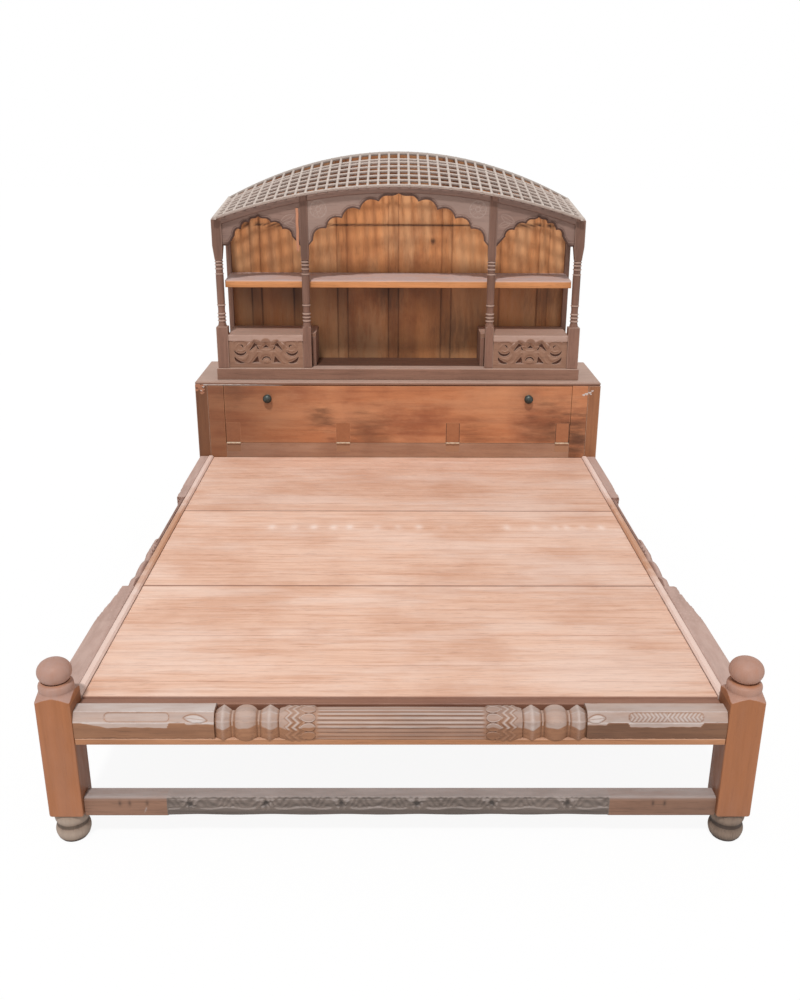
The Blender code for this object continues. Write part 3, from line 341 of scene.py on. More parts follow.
# The niche floor and its bearers are painted dark as shade in the niche.
niche_shade_teak = teak("niche floor teak painted dark as shade", "5E4032", "452C22", "7A5A4A", "2A1A14", "X", 16)
lattice_teak = teak("grey teak of the lattice", "B5A49A", "94847A", "D3C8BF", "4A3F38", "Y", 9,
                    dust=0.4, rough=0.75)

# %% The side planks
RUBBED_MIDDLE, RUBBED_HALF, RUBBED_FADE = 1.15 + FRONT, 0.40, 0.40


def side_plank_teak():
    """Dusty pink teak that was rubbed orange in the middle of its length."""
    material, tree = new_material("dusty teak of the side planks")
    place = add(tree, "TexCoord", output="Object")
    fibre = add(tree, "Mapping", {"Vector": place, "Scale": (1, GRAIN_DRAW, 1)})
    streaks = add(tree, "TexNoise", {"Vector": fibre, "Scale": 1000 / 12, "Detail": 6.0,
                                     "Roughness": 0.6})
    specks = add(tree, "TexNoise", {"Vector": place, "Scale": 1000 / 60, "Detail": 5.0})
    y = add(tree, "SeparateXYZ", {0: place}, "Y")
    away = add(tree, "Math", {0: y, 1: RUBBED_MIDDLE}, operation="SUBTRACT")
    away = add(tree, "Math", {0: away}, operation="ABSOLUTE")
    away = add(tree, "Math", {0: specks, 1: 0.5, 2: away}, operation="MULTIPLY_ADD")
    dusty = add(tree, "MapRange", {0: away, 1: RUBBED_HALF, 2: RUBBED_HALF + RUBBED_FADE, 3: 0.15,
                                   4: 0.9}, interpolation_type="SMOOTHSTEP")
    colours = ((streaks, "CB9670", "A0663F"), (specks, "E0C2B5", "E8D2C8"))
    wood, dust = [add(tree, "Mix", {0: noise, 6: linear(one), 7: linear(other)}, 2, data_type="RGBA")
                  for noise, one, other in colours]
    skin = add(tree, "Mix", {0: dusty, 6: wood, 7: dust}, 2, data_type="RGBA")
    grain = add(tree, "Bump", {"Strength": 0.5, "Distance": GRAIN_M, "Height": streaks})
    shader = add(tree, "BsdfPrincipled", {"Base Color": skin, "Roughness": 0.6, "Normal": grain,
                                          "Specular IOR Level": SHEEN})
    add(tree, "OutputMaterial", {"Surface": shader})
    return material


plank_teak = side_plank_teak()
print("material", plank_teak.name)

# %% [markdown]
# ## Metal
# The knobs are blackened iron. The hinges are brass that was let into the wood and darkened with
# it. Only the knuckles, which hands and the flap rub, are bright, so the brightness is drawn
# round the hinge line.

# %% Iron and brass
HINGE_Y, HINGE_Z, HINGE_HALF_PITCH = 2.099 + FRONT, 0.449, 0.24
PLATE_HALF, PLATE_LINE = 0.0295, 0.0022      # half a plate's width, and half the line at its side
KNUCKLE_OUTER, KNUCKLE_INNER = 0.0050, 0.0036


def blackened_iron():
    """Cast iron with a dark skin: a noise of some 6 mm mixes grey, green and rust."""
    material, tree = new_material("blackened iron")
    place = add(tree, "TexCoord", output="Object")
    spots = add(tree, "TexNoise", {"Vector": place, "Scale": 1000 / 6, "Detail": 5.0})
    skin = add(tree, "Mix", {0: spots, 6: linear("2B3030"), 7: linear("565B57")}, 2, data_type="RGBA")
    dull = add(tree, "MapRange", {0: spots, 1: 0.3, 2: 0.7, 3: 0.32, 4: 0.55})
    dents = add(tree, "Bump", {"Strength": 0.4, "Distance": 0.001, "Height": spots})
    shader = add(tree, "BsdfPrincipled", {"Base Color": skin, "Roughness": dull, "Normal": dents,
                                          "Metallic": 0.8})
    add(tree, "OutputMaterial", {"Surface": shader})
    return material


def darkened_brass():
    """Brass that is bright within 5 mm of the hinge line, and stained like the flap elsewhere. A
    dark line shows the plate's sides on the right half, where the stain came off: x lies half a
    plate from the nearest of the hinges, which stand 480 mm apart."""
    material, tree = new_material("darkened brass")
    place = add(tree, "TexCoord", output="Object")
    line = add(tree, "VectorMath", {0: place, 1: (0, HINGE_Y, HINGE_Z)}, operation="SUBTRACT")
    across = add(tree, "VectorMath", {0: line, 1: (0, 1, 1)}, operation="MULTIPLY")
    away = add(tree, "VectorMath", {0: across}, "Value", operation="LENGTH")
    bright = add(tree, "MapRange", {0: away, 1: KNUCKLE_OUTER, 2: KNUCKLE_INNER, 3: 0.0,
                                    4: 0.85})
    spots = add(tree, "TexNoise", {"Vector": place, "Scale": 1000 / 12, "Detail": 4.0})
    x, z = [add(tree, "SeparateXYZ", {0: place}, axis) for axis in "XZ"]
    near = add(tree, "Math", {0: x, 1: HINGE_HALF_PITCH}, operation="PINGPONG")
    side = add(tree, "Math", {0: near, 1: HINGE_HALF_PITCH - PLATE_HALF, 2: PLATE_LINE},
               operation="COMPARE")
    right = add(tree, "Math", {0: x, 1: 0.0}, operation="GREATER_THAN")
    dark = add(tree, "Math", {0: side, 1: right}, operation="MULTIPLY")
    below = add(tree, "Math", {0: z, 1: HINGE_Z - 0.004}, operation="LESS_THAN")
    left = add(tree, "MapRange", {0: x, 1: -0.10, 2: -0.75, 3: 0.0, 4: 0.38})
    skin = linear("965C3B")
    for share, colour in ((spots, "AA6E49"), (dark, "5A3320"), (below, "A27659"), (left, "45281A")):
        skin = add(tree, "Mix", {0: share, 6: skin, 7: linear(colour)}, 2, data_type="RGBA")
    rubbed = add(tree, "Mix", {0: spots, 6: linear("A98F70"), 7: linear("E8DCC6")}, 2, data_type="RGBA")
    skin = add(tree, "Mix", {0: bright, 6: skin, 7: rubbed}, 2, data_type="RGBA")
    metal = add(tree, "Math", {0: bright, 1: 0.5}, operation="MULTIPLY")
    shader = add(tree, "BsdfPrincipled", {"Base Color": skin, "Roughness": 0.45, "Metallic": metal})
    add(tree, "OutputMaterial", {"Surface": shader})
    return material


iron = blackened_iron()
brass = darkened_brass()
print("metals:", iron.name, brass.name)

# %% [markdown]
# ## Plain boards
# Planks, rails and boards already have the right shape in the solid model, so they stay and only
# take a material. The grain runs along each board.

# %% Wood on the plain boards
plain = {
    ledge_teak: ["front_ledge"],
    beam_teak: ["front_beam"],
    plank_teak: ["left_beam", "right_beam"],
    cabinet_rail_teak: ["cabinet_bottom_rail"],
    cabinet_teak: ["cabinet_flap", "cabinet_left_stile", "cabinet_right_stile",
                   "cabinet_floor", "cabinet_back", "front_cross_bearer", "rear_cross_bearer"],
    corner_teak: ["cabinet_left_side", "cabinet_right_side"],
    rail_teak: ["cabinet_top", "jharokha_base_rail"],
    box_teak: ["left_box_top", "right_box_top"],
    frame_teak: ["left_box_side", "right_box_side", "left_side_frame", "right_side_frame"],
    niche_shade_teak: ["niche_floor", "left_bearer", "right_bearer"],
    brass: [f"hinge_{i}_{leaf}_leaf" for i in range(1, 5) for leaf in ("frame", "flap")],
}
for material, names in plain.items():
    for name in names:
        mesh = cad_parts[name].data
        mesh.materials.clear()
        mesh.materials.append(material)
print("plain boards:", sum(len(names) for names in plain.values()))

# %% [markdown]
# ## Posts
# Each post is one length of teak. The square part was sawn, then the top was turned on a lathe,
# so the turned shoulder cuts an arch out of every flat face. That is how it is made here too:
# in each direction the wood reaches as far as the prism or the lathe lets it.

# %% Turned posts
NECK_Z = [0.300, 0.412, 0.418, 0.4235, 0.4285, 0.4330, 0.4355, 0.4375, 0.4400, 0.4450, 0.4500,
          0.4535, 0.4560, 0.4580, 0.4610]
NECK_R = [0.080, 0.070, 0.0620, 0.0530, 0.0460, 0.0432, 0.0424, 0.0424, 0.0432, 0.0436, 0.0432,
          0.0420, 0.0396, 0.0368, 0.0352]
BALL_MIDDLE, BALL_RADIUS, BALL_RISE = 0.4885, 0.0425, 0.0325
CORNER_POWER = 20
SQUARE_TOP, NECK_GROOVE = 0.41, 0.4600
EASED_UP, EASED_SHARE = np.array([0, 0.002, 0.006]), [0.955, 0.985, 1]     # the post's lower edge


def post(name, tone, drop):
    """The prism's reach at angle a is (|cos a / w|^p + |sin a / d|^p)^(-1/p), the lathe's is r(z).
    The post is the smaller of the two, and an ellipse turned about Z makes the ball. drop lowers
    a ball that was turned a little shorter."""
    low, high = node_box(name)
    middle, half = (low + high) / 2, (high - low) / 2
    angle = circle(160)
    prism = soft_square(angle, CORNER_POWER, half[0], half[1])
    z = np.concatenate([low[2] + EASED_UP, runs((0.12, 0.38, 8), (0.404, NECK_Z[-1], 60))])
    eased = np.interp(z - low[2], EASED_UP, EASED_SHARE)
    reach = np.minimum(prism * eased[:, None], np.interp(z, NECK_Z, NECK_R)[:, None])
    rise = np.linspace(2.56, 0.02, 44)
    ball = BALL_RADIUS * np.sin(rise) ** 0.86
    reach = np.concatenate([reach, np.broadcast_to(ball[:, None], (len(rise), len(angle)))])
    z = np.concatenate([z, BALL_MIDDLE - drop + BALL_RISE * np.cos(rise)])[:, None]
    points = grid(middle[0] + reach * np.cos(angle), middle[1] + reach * np.sin(angle), z)
    corner = bump(np.mod(angle, pi / 2) - pi / 4, 0.05)
    # The faces that turn to the middle of the bed are painted darker: painted shade under the deck.
    inner = step(-np.sign(middle[0]) * np.cos(angle), 0.65, 0.75)
    shoulder = (reach < 0.995 * prism) * (z > 0.40)
    relief = tone + (0.25 * corner - 0.38 * inner) * (z < SQUARE_TOP)
    # The groove under the ball is painted dark as shade.
    relief = relief + 0.70 * shoulder - 0.45 * bump(z - NECK_GROOVE, 0.0030)
    piece(f"{name}_turned", [closed(points, relief)], post_teak, [name])


post("left_post", 0.0, 0.0040)
post("right_post", -0.12, 0.0)

# %% Turned feet
WAIST, SWELL, FOOT_TOP = 0.040, 0.0046, 0.084
FOOT_RINGS = ((0.044, 0.037), (FOOT_TOP, 0.034))      # top and height of each ring


def foot(name, tone):
    """Two half-round rings, w + s sin(t), turned about Z, with a waist between them."""
    low, high = node_box(name)
    middle = (low + high) / 2
    t = np.linspace(0, pi, 20)
    rings = [top - tall * (pi - t) / pi for top, tall in FOOT_RINGS]
    z = np.concatenate([[0, 0], *rings, [FOOT_TOP]])[:, None]
    swell = WAIST + SWELL * np.sin(t)
    r = np.concatenate([[0.030, 0.035], swell, swell, [0.030]])[:, None]
    angle = circle(72)
    points = grid(middle[0] + r * np.cos(angle), middle[1] + r * np.sin(angle), z)
    relief = (r - WAIST) / SWELL * 0.8 - 0.7 * (r < WAIST + 0.0008)
    relief = np.clip(relief + tone, -1, 0.8)
    piece(f"{name}_turned", [closed(points, relief)], foot_teak, [name])


foot("left_foot", 0.0)
foot("right_foot", -0.70)

# %% [markdown]
# ## Carved columns
# The front rail and the two side rails are old house columns laid on their side: a block, a
# faceted bead, a ball, another bead, a band of leaves and a reeded shaft. All three are one
# kind of surface: at each place along the column and each angle round it the wood reaches to a
# circle, an octagon or a block, less what the chisel took away.

# %% Leaves and reeds
PETAL_SHARE, CHEVRON_SHARE, CHEVRON_SLANT = 0.40, 0.195, 1.15
PETAL_WIDEST = 0.455
COLUMN_R, LEAF_COUNT, REED_COUNT = 0.0335, 9, 18


def leaves(u, angle, length):
    """Lotus petals, then nested chevrons. u runs from the shaft. Round each petal's axis, at the
    distance w, a chevron lies where u + 1.15 w is constant. Gives the height and the relief."""
    sector = 2 * pi / LEAF_COUNT
    w = np.abs(np.mod(angle + sector / 2, sector) - sector / 2) * COLUMN_R
    long = PETAL_SHARE * length
    on_petal = u < long
    t = np.clip(u / long, 0, 1)
    tip = np.clip((t - PETAL_WIDEST) / (1 - PETAL_WIDEST), 0, 1)
    swell = np.where(t < PETAL_WIDEST, 1 - (1 - 2.2 * t) ** 2, 1 - tip ** 1.6)
    wide = 0.0008 + 0.0102 * np.sqrt(np.clip(swell, 0, 1))
    inside = (wide - w) * on_petal
    petal = np.sqrt(np.clip(1 - (w / wide) ** 2, 0, 1)) * on_petal
    rim = bump(inside - 0.0012, 0.0012) * on_petal
    gap = bump(wide + 0.0010 - w, 0.0011) * on_petal
    q = (u + CHEVRON_SLANT * w) / length
    lines = 0.5 + 0.5 * np.cos(2 * pi * (q - PETAL_SHARE - 0.02) / CHEVRON_SHARE)
    zone = step(q, PETAL_SHARE, PETAL_SHARE + 0.03) * (1 - step(q, 0.84, 0.88)) * (inside <= 0)
    height = 0.0014 * petal + 0.0012 * rim - 0.0012 * gap + 0.0018 * lines * zone
    relief = (0.35 * petal + 0.8 * rim) * (inside > 0) - 1.0 * gap + zone * (1.3 * lines - 0.5)
    return height, np.clip(relief + 0.45 * step(q, 0.86, 0.9), -1, 1)


def reeds(angle):
    """Round ribs side by side: |cos|^0.6 between sharp grooves."""
    rib = np.abs(np.cos(REED_COUNT * angle / 2)) ** 0.6
    return 0.0030 * (rib - 1), 1.45 * rib - 0.80


# %% Blocks of the front column
CARTOUCHES = ((-0.735, -0.574, 0.0), (0.566, 0.752, 1.0))     # from, to, and 1 with a comb in it
CARTOUCHE_R, COMB_PITCH = 0.0116, 0.0105
BLOCK_LEAVES = ((-0.5095, 0.0295), (0.4855, 0.0235))          # place and half length
LEAF_UP, LEAF_HALF = 0.0185, 0.0095
CHAMFER_UP = 0.0226
BLOCK_PLANES = ((1, 0, 0.0305), (-1, 0, 0.0305), (0, 1, 0.0353), (0, -1, 0.0353),
                (0.900, 0.436, 0.0318))      # direction out and up, and distance; the chamfer last
COAT_X = [-0.795, -0.727, -0.580, -0.572, -0.540, -0.532, -0.463, 0.463, 0.510, 0.520, 0.560, 0.570,
          0.745, 0.755, 0.795]
COAT_UP = [0.011, -0.004, -0.003, 0.016, 0.018, 0.004, 0.006, 0.004, 0.004, 0.016, 0.016, -0.002,
           -0.002, 0.014, 0.016]


def front_block(x, angle, wander):
    """A block with a broad chamfer above: its reach is 1 over the largest of n.d / distance, over
    its planes. On each chamfer lie a sunk oval, the right one with a comb in it, and a leaf. The
    old paint ends at a line. Gives the reach and the relief."""
    meet = [(n * np.cos(angle) + m * np.sin(angle)) / far for n, m, far in BLOCK_PLANES]
    order = np.sort(meet, axis=0)
    corner = bump(order[-1] / order[-2] - 1, 0.03)
    face = np.argmax(meet, axis=0)
    top, chamfer, block = face == 2, face == 4, 1 / order[-1]
    up = block * np.sin(angle)
    sunk, marks = np.zeros((len(x), angle.size)), np.zeros((len(x), angle.size))
    for start, stop, comb in CARTOUCHES:
        past = np.maximum(np.maximum(start + CARTOUCHE_R - x, x - stop + CARTOUCHE_R), 0)
        inside = CARTOUCHE_R - np.hypot(past, (up - CHAMFER_UP) * 1.1)
        within = step(inside, 0, 0.0014)
        fan = x - 0.9 * np.abs(up - CHAMFER_UP) * np.sign(x - (start + stop) / 2)
        teeth = 0.5 + 0.5 * np.cos(2 * pi * fan / COMB_PITCH)
        sunk = sunk + chamfer * within * (0.0019 - 0.0015 * comb * teeth)
        drawn = within * (comb * (0.65 * teeth - 0.38) + 0.08) - 0.5 * bump(inside, 0.0011)
        marks = marks + chamfer * drawn
    for place, long in BLOCK_LEAVES:
        half = LEAF_HALF * np.clip(1 - ((x - place) / long) ** 2, 0, 1)
        off = np.abs(up - LEAF_UP - 0.10 * (x - place) * np.sign(x))
        leaf = step(half - off, 0, 0.003)
        line = bump(off - half - 0.0008, 0.0012) * (half > 0) + leaf * bump(off, 0.0009)
        sunk = sunk - 0.0018 * leaf + 0.0010 * line
        marks = marks + 0.40 * leaf - 0.5 * line
    ragged = np.clip(np.sin(173 * x) * np.sin(61 * x + 1) + 0.5 * np.sin(419 * x), 0, 1)
    coat = step(up - np.interp(x, COAT_X, COAT_UP) + 0.002 * wander, -0.0012, 0.0012)
    worn = np.where(x > 0, 0.62, 0.88) * top + 0.55 * chamfer + 0.5 * corner * (up > 0) + marks
    worn = worn + (~top & ~chamfer) * (0.62 * coat - np.where(x > 0, 0.50, 0.18) * (1 - coat))
    return block - sunk - 0.0022 * corner * ragged, worn


# %% The front column
SHAFT_END, LEAF_END, BEAD_END, BALL_END, TURNED_END = 0.212, 0.302, 0.351, 0.421, 0.463
GROOVE_R, BEAD_SWELL, BALL_R = 0.0222, 0.0130, 0.0356


def front_column():
    """Reach r(x) f(a) less the carving, round a line along X. Below the line the front drops
    straight to the ledge, as far out as r(x), and the back is planed off against the plank. Old
    paint ends in a wandering line, a sum of three waves."""
    low, high = node_box("front_column")
    middle = (low + high) / 2
    half = runs((0, 0.200, 14), (0.203, SHAFT_END, 6), (SHAFT_END + 0.0004, LEAF_END, 64),
                (LEAF_END + 0.001, BEAD_END, 20), (BEAD_END + 0.001, BALL_END, 28),
                (BALL_END + 0.001, TURNED_END, 18), (TURNED_END + 0.0003, high[0], 126))
    x = np.concatenate([-half[:0:-1], half])[:, None]
    d = np.abs(x)
    angle = runs((-0.62 * pi, 0.62 * pi, 132), (0.66 * pi, 1.34 * pi, 8))[None, :]
    front_low = (angle < 0) & (np.cos(angle) > 0)
    drop = np.where(front_low, np.tan(np.clip(-angle, 0, pi / 4)), 0)
    height = middle[2] - low[2]
    around = np.where(front_low, -drop * height / COLUMN_R, angle)
    in_shaft, in_leaves = d <= SHAFT_END, (d > SHAFT_END) & (d <= LEAF_END)
    in_ball, in_block = (d > BEAD_END) & (d <= BALL_END), d > TURNED_END
    faceted = (d > LEAF_END) & (d <= BEAD_END) | (d > BALL_END)

    across = (d - BEAD_END) / (BALL_END - BEAD_END) * 2 - 1
    ball = np.sqrt(np.clip(1 - np.abs(across) ** 2.4, 0, 1))
    bead = np.where(d < BALL_END, (d - LEAF_END) / (BEAD_END - LEAF_END),
                    (d - BALL_END) / (TURNED_END - BALL_END))
    bead = np.clip(1.08 - 1.08 * np.abs(2 * bead - 1), 0, 1)
    radius = np.interp(d, [0, SHAFT_END, SHAFT_END + 0.006, SHAFT_END + 0.0675, LEAF_END],
                       [0.0325, 0.0318, 0.0342, 0.0345, 0.0270])
    radius = np.where(d > LEAF_END, GROOVE_R + BEAD_SWELL * bead, radius)
    radius = np.where(in_ball, np.maximum(GROOVE_R, BALL_R * ball), radius)
    eight = np.where(front_low, 1.0, polygon(angle, 8))
    form = np.where(faceted, eight, 1 + (eight - 1) * step(d, SHAFT_END + 0.06, LEAF_END))

    leaf_height, leaf_relief = leaves(d - SHAFT_END, around, LEAF_END - SHAFT_END)
    reed_height, reed_relief = reeds(around)
    fade = 1 - step(d, SHAFT_END - 0.012, SHAFT_END)
    reach = radius * form + in_shaft * reed_height * fade + in_leaves * leaf_height
    steep = np.maximum(1, np.tan(np.clip(-angle, 0, 1.5)))
    out = np.where(front_low, reach / steep, reach * np.cos(angle))
    rise = np.where(front_low, -height * drop, reach * np.sin(angle))

    facet = bump(np.mod(angle, pi / 4) - pi / 8, 0.07) * ~front_low
    crest = np.maximum(facet, bump(bead - 1, 0.14))
    relief = in_shaft * (reed_relief * fade + 0.2 * (1 - fade))
    relief = relief + in_leaves * (0.75 * leaf_relief + 0.10)
    relief = np.where(faceted, 0.52 + 0.22 * crest - 1.2 * bump(bead, 0.16), relief)
    relief = np.where(in_ball, 0.48 - 1.0 * bump(ball - 0.60, 0.09), relief)
    wander = 0.5 * np.sin(41 * x + 1) + 0.3 * np.sin(97 * x + 2) + 0.2 * np.sin(213 * x)
    coat = step(rise + 0.004 + 0.006 * wander, -0.002, 0.002)
    relief = relief * (0.35 + 0.65 * coat) - 0.18 * (1 - coat) * ~in_shaft

    block, worn = front_block(x, angle, wander)
    out = np.where(in_block, block * np.cos(angle), out)
    rise = np.where(in_block, block * np.sin(angle), rise)
    relief = np.clip(np.where(in_block, worn, relief), -1, 1)
    points = grid(x, np.minimum(middle[1] - out, high[1]), np.maximum(middle[2] + rise, low[2]))
    piece("front_column_carved", [closed(points, relief)], old_teak, ["front_column"],
          crease=28)


front_column()

# %% The side columns
BLOCK_STOP, BEAD_STOP, BALL_STOP, BAND_STOP, SHAFT_STOP = 0.750, 0.8463, 0.9963, 1.151, 1.571
SIDE_GROOVE_R, SIDE_BEAD_SWELL, SIDE_BALL_R = 0.0245, 0.0105, 0.0350
SIDE_BLOCK_UP, BLOCK_POWER = 0.0352, 16


def side_column(name, side):
    """The same forms along Y, flattened: out from the plank by o(y), up and down by h(y). All but
    the blocks lies close to the plank."""
    low, high = node_box(name)
    middle = (low + high) / 2
    inner = side * min(abs(low[0]), abs(high[0]))
    s = runs((low[1] - FRONT, BLOCK_STOP, 90), (BLOCK_STOP + 0.0005, BEAD_STOP, 30),
             (BEAD_STOP + 0.001, BALL_STOP, 34), (BALL_STOP + 0.001, BAND_STOP, 70),
             (BAND_STOP + 0.001, SHAFT_STOP, 30),
             (SHAFT_STOP + 0.0005, high[1] - FRONT, 60))[:, None]
    angle = np.linspace(-pi, pi, 72, endpoint=False)[None, :]
    in_ball, in_band = (s > BEAD_STOP) & (s <= BALL_STOP), (s > BALL_STOP) & (s <= BAND_STOP)
    front_part, rear_part = s <= BLOCK_STOP, s > SHAFT_STOP
    in_block = front_part | rear_part

    ball = np.sqrt(np.clip(1 - ((s - BEAD_STOP) / (BALL_STOP - BEAD_STOP) * 2 - 1) ** 2, 0, 1))
    bead = np.abs((s - BLOCK_STOP) / (BEAD_STOP - BLOCK_STOP) * 2 - 1)
    bead = np.clip(1.08 - 1.08 * bead, 0, 1)
    tall = np.where(s < BEAD_STOP, SIDE_GROOVE_R + SIDE_BEAD_SWELL * bead,
                    np.maximum(SIDE_GROOVE_R, SIDE_BALL_R * ball))
    band = np.interp(s, [BALL_STOP, BALL_STOP + 0.02, BAND_STOP - 0.01, BAND_STOP],
                     [0.0250, 0.0336, 0.0336, 0.0270])
    tall = np.where(s > BALL_STOP, band, tall)
    thick = np.interp(s, [BLOCK_STOP, BAND_STOP, BAND_STOP + 0.03], [0.0170, 0.0150, 0.0125])
    form = np.where(s < BEAD_STOP, polygon(angle, 8), 1.0)
    carve, marks = leaves(BAND_STOP - s, angle, BAND_STOP - BALL_STOP)
    reed, reed_marks = reeds(angle)
    cut = in_band * carve + (s > BAND_STOP) * reed
    relief = in_band * marks + (s > BAND_STOP) * reed_marks
    relief = np.where(s <= BEAD_STOP, 0.5 - 1.1 * bump(bead, 0.25), relief)
    relief = np.where(in_ball, 0.45 - 0.9 * bump(ball - 0.7, 0.12), relief)
    out, up = thick * form * np.cos(angle), tall * form * np.sin(angle)
    grown = 1 + cut / np.hypot(out, up)

    rough = step(s, 0.49, 0.56) * front_part + (1 - step(s, 1.66, 1.72)) * rear_part
    jag = 0.0020 * rough * (np.sin(113 * s + side) * np.sin(47 * s) + 0.4 * np.sin(311 * s))
    wide = np.where(front_part, 0.0305 - 0.0085 * step(s, 0.52, 0.74), 0.0185) - np.abs(jag)
    chisel = 0.0030 * rough * np.sin(240 * s + 5 * angle) * np.sin(9 * angle)
    square = soft_square(angle, BLOCK_POWER)
    out = np.where(in_block, (wide * square - np.abs(chisel)) * np.cos(angle), out * grown)
    up = np.where(in_block, SIDE_BLOCK_UP * square * np.sin(angle), up * grown)
    smooth = 0.70 + 0.15 * (np.sin(angle) > 0.6) - 0.45 * rough - 0.25 * (side > 0) * rear_part
    relief = np.clip(np.where(in_block, smooth + 250 * chisel + 90 * jag, relief), -1, 1)
    points = grid(inner + side * (np.where(in_block, wide, thick) + out), s + FRONT,
                  middle[2] + np.clip(up, low[2] - middle[2], high[2] - middle[2]))
    piece(f"{name}_carved", [closed(points, relief)], side_teak, [name], crease=28)


side_column("left_column", -1)
side_column("right_column", 1)

# %% [markdown]
# ## Chips and flakes
# The cabinet's top corners are knocked about: on the left the wood is torn open to its orange
# heart, on the right a few pale splinters are left. Each chip is a flat three-cornered mound, and
# all of them are one stack of equal grids.

# %% Chips
# x, z and size of each chip
TORN = ((-0.868, 0.704, 0.0120), (-0.852, 0.702, 0.0120), (-0.845, 0.687, 0.0110),
        (-0.846, 0.672, 0.0080), (-0.870, 0.686, 0.0090))
SPLINTERS = ((0.803, 0.6675, 0.0058), (0.815, 0.6725, 0.0066), (0.828, 0.6775, 0.0064),
             (0.839, 0.6850, 0.0050))
CORNER_FLAKES = ((-0.838, 0.700, 0.0040), (-0.848, 0.683, 0.0035), (0.834, 0.671, 0.0035))
CHIP_SHARES = np.array([0, 1, 0.86, 0])[:, None]
CHIP_OUT = np.array([0.0006, 0.0006, -0.0007, -0.0010])[:, None]


def chips(name, places, face, material, tone, seed):
    """Round each place the reach is s / max cos(a - k 2pi/3), a triangle, times a random share.
    The rows climb from the wood to the crown of the chip, and none reaches past the cabinet's
    side."""
    rng = np.random.default_rng(seed)
    edge = node_box("cabinet_right_side")[1][0] - 0.001
    x, z, size = np.array(places).T[:, :, None, None]
    angle = circle(9)
    reach = size * polygon(angle - pi / 2, 3) * rng.uniform(0.55, 1.0, (len(places), 1, len(angle)))
    across = np.clip(x + 1.3 * CHIP_SHARES * reach * np.cos(angle), -edge, edge)
    points = grid(across, face + CHIP_OUT, z + 0.8 * CHIP_SHARES * reach * np.sin(angle))
    piece(name, [(points, tone)], material, [])


corner_face = node_box("cabinet_left_side")[0][1]
chips("torn_corner", TORN, corner_face, splint_teak, -0.35, 5)
chips("corner_splinters", SPLINTERS, corner_face, old_teak, 1.0, 7)
chips("corner_flakes", CORNER_FLAKES, corner_face - 0.0006, old_teak, 0.9, 9)

# %% Pale edge
EDGE_START, EDGE_LENGTH, EDGE_TALL = -0.838, 0.34, 0.0042


def pale_edge_strip():
    """A thin pale strip on the lower edge of the cabinet's top, thinning to the right as 1 - t^2."""
    low = node_box("cabinet_top")[0]
    t = np.linspace(0, 1, 40)[:, None]
    tall = EDGE_TALL * (1 - t ** 2) * (0.85 + 0.15 * np.sin(60 * t)) + 0.0003
    points = grid(EDGE_START + EDGE_LENGTH * t, low[1] + np.array([0.0005, -0.0006, -0.0006, 0.0005]),
                  low[2] + 0.0004 + tall * np.array([0, 0.1, 0.9, 1]))
    piece("cabinet_top_pale_edge", [closed(points, 1.0)], old_teak, [])


pale_edge_strip()

# %% [markdown]
# ## The low stretcher
# A narrow rail between the posts, plain at the ends and carved in the middle with a running vine
# of flowers over a plain band. Its section is a closed outline that is carried along X, and the
# front of the outline is pushed in where the carver cut the ground away.

# %% Running vine
FLOWER_PITCH, FLOWER_X, FLOWER_R, EYE_UP, EYE_R = 0.1943, 0.0416, 0.0125, 0.0345, 0.0062
WING_SIDE, WING_UP, WING_LONG, WING_TALL = 0.0185, 0.0470, 0.0085, 0.0042


def vine(x, z):
    """Worn flowers at every pitch: a deep eye, two raised petals above it, a ring of small ones,
    and a swag between the flowers. x along the rail, z up from its bottom edge. Gives the height
    from 0 to 1, and the relief."""
    u = np.mod(x - FLOWER_X + FLOWER_PITCH / 2, FLOWER_PITCH) - FLOWER_PITCH / 2
    far, turn = np.hypot(u, 0.8 * (z - EYE_UP)), np.arctan2(z - EYE_UP, u)
    eye = bump(far, EYE_R)
    beside = np.abs(u) - WING_SIDE
    wings = bump(np.hypot(beside / WING_LONG, (z - WING_UP - 0.15 * beside) / WING_TALL), 1.0)
    petals = bump(far - FLOWER_R, 0.0040) * (0.5 + 0.5 * np.cos(6 * turn))
    hang = z - 0.0215 - 0.0022 * np.cos(4 * pi * u / FLOWER_PITCH)
    swag = bump(hang, 0.0026) * step(np.abs(u), 0.018, 0.030)
    slow = 2 * pi * x
    lumps = (np.sin(slow / 0.031 + 2 * np.sin(slow / 0.11))
             * np.sin(2 * pi * z / 0.024 + 3 * np.sin(slow / 0.083)) * step(z, 0.022, 0.028))
    height = np.clip(0.50 + 0.5 * wings + 0.4 * petals + 0.4 * swag + 0.25 * lumps - 0.6 * eye, 0, 1)
    relief = 0.75 * wings + 0.35 * petals + 0.75 * swag + 0.34 * lumps - 1.1 * eye
    return height, relief - 0.30 * (1 - step(z, 0.012, 0.020)) - 0.22


# %% The stretcher
CARVED_FROM, CARVED_TO = -0.600, 0.538
NICKS, NICK_UP = (-0.720, -0.695, -0.650, 0.650, 0.680), 0.039
SCRATCH_X, SCRATCH_UP = -0.655, 0.020
EASE = 0.003


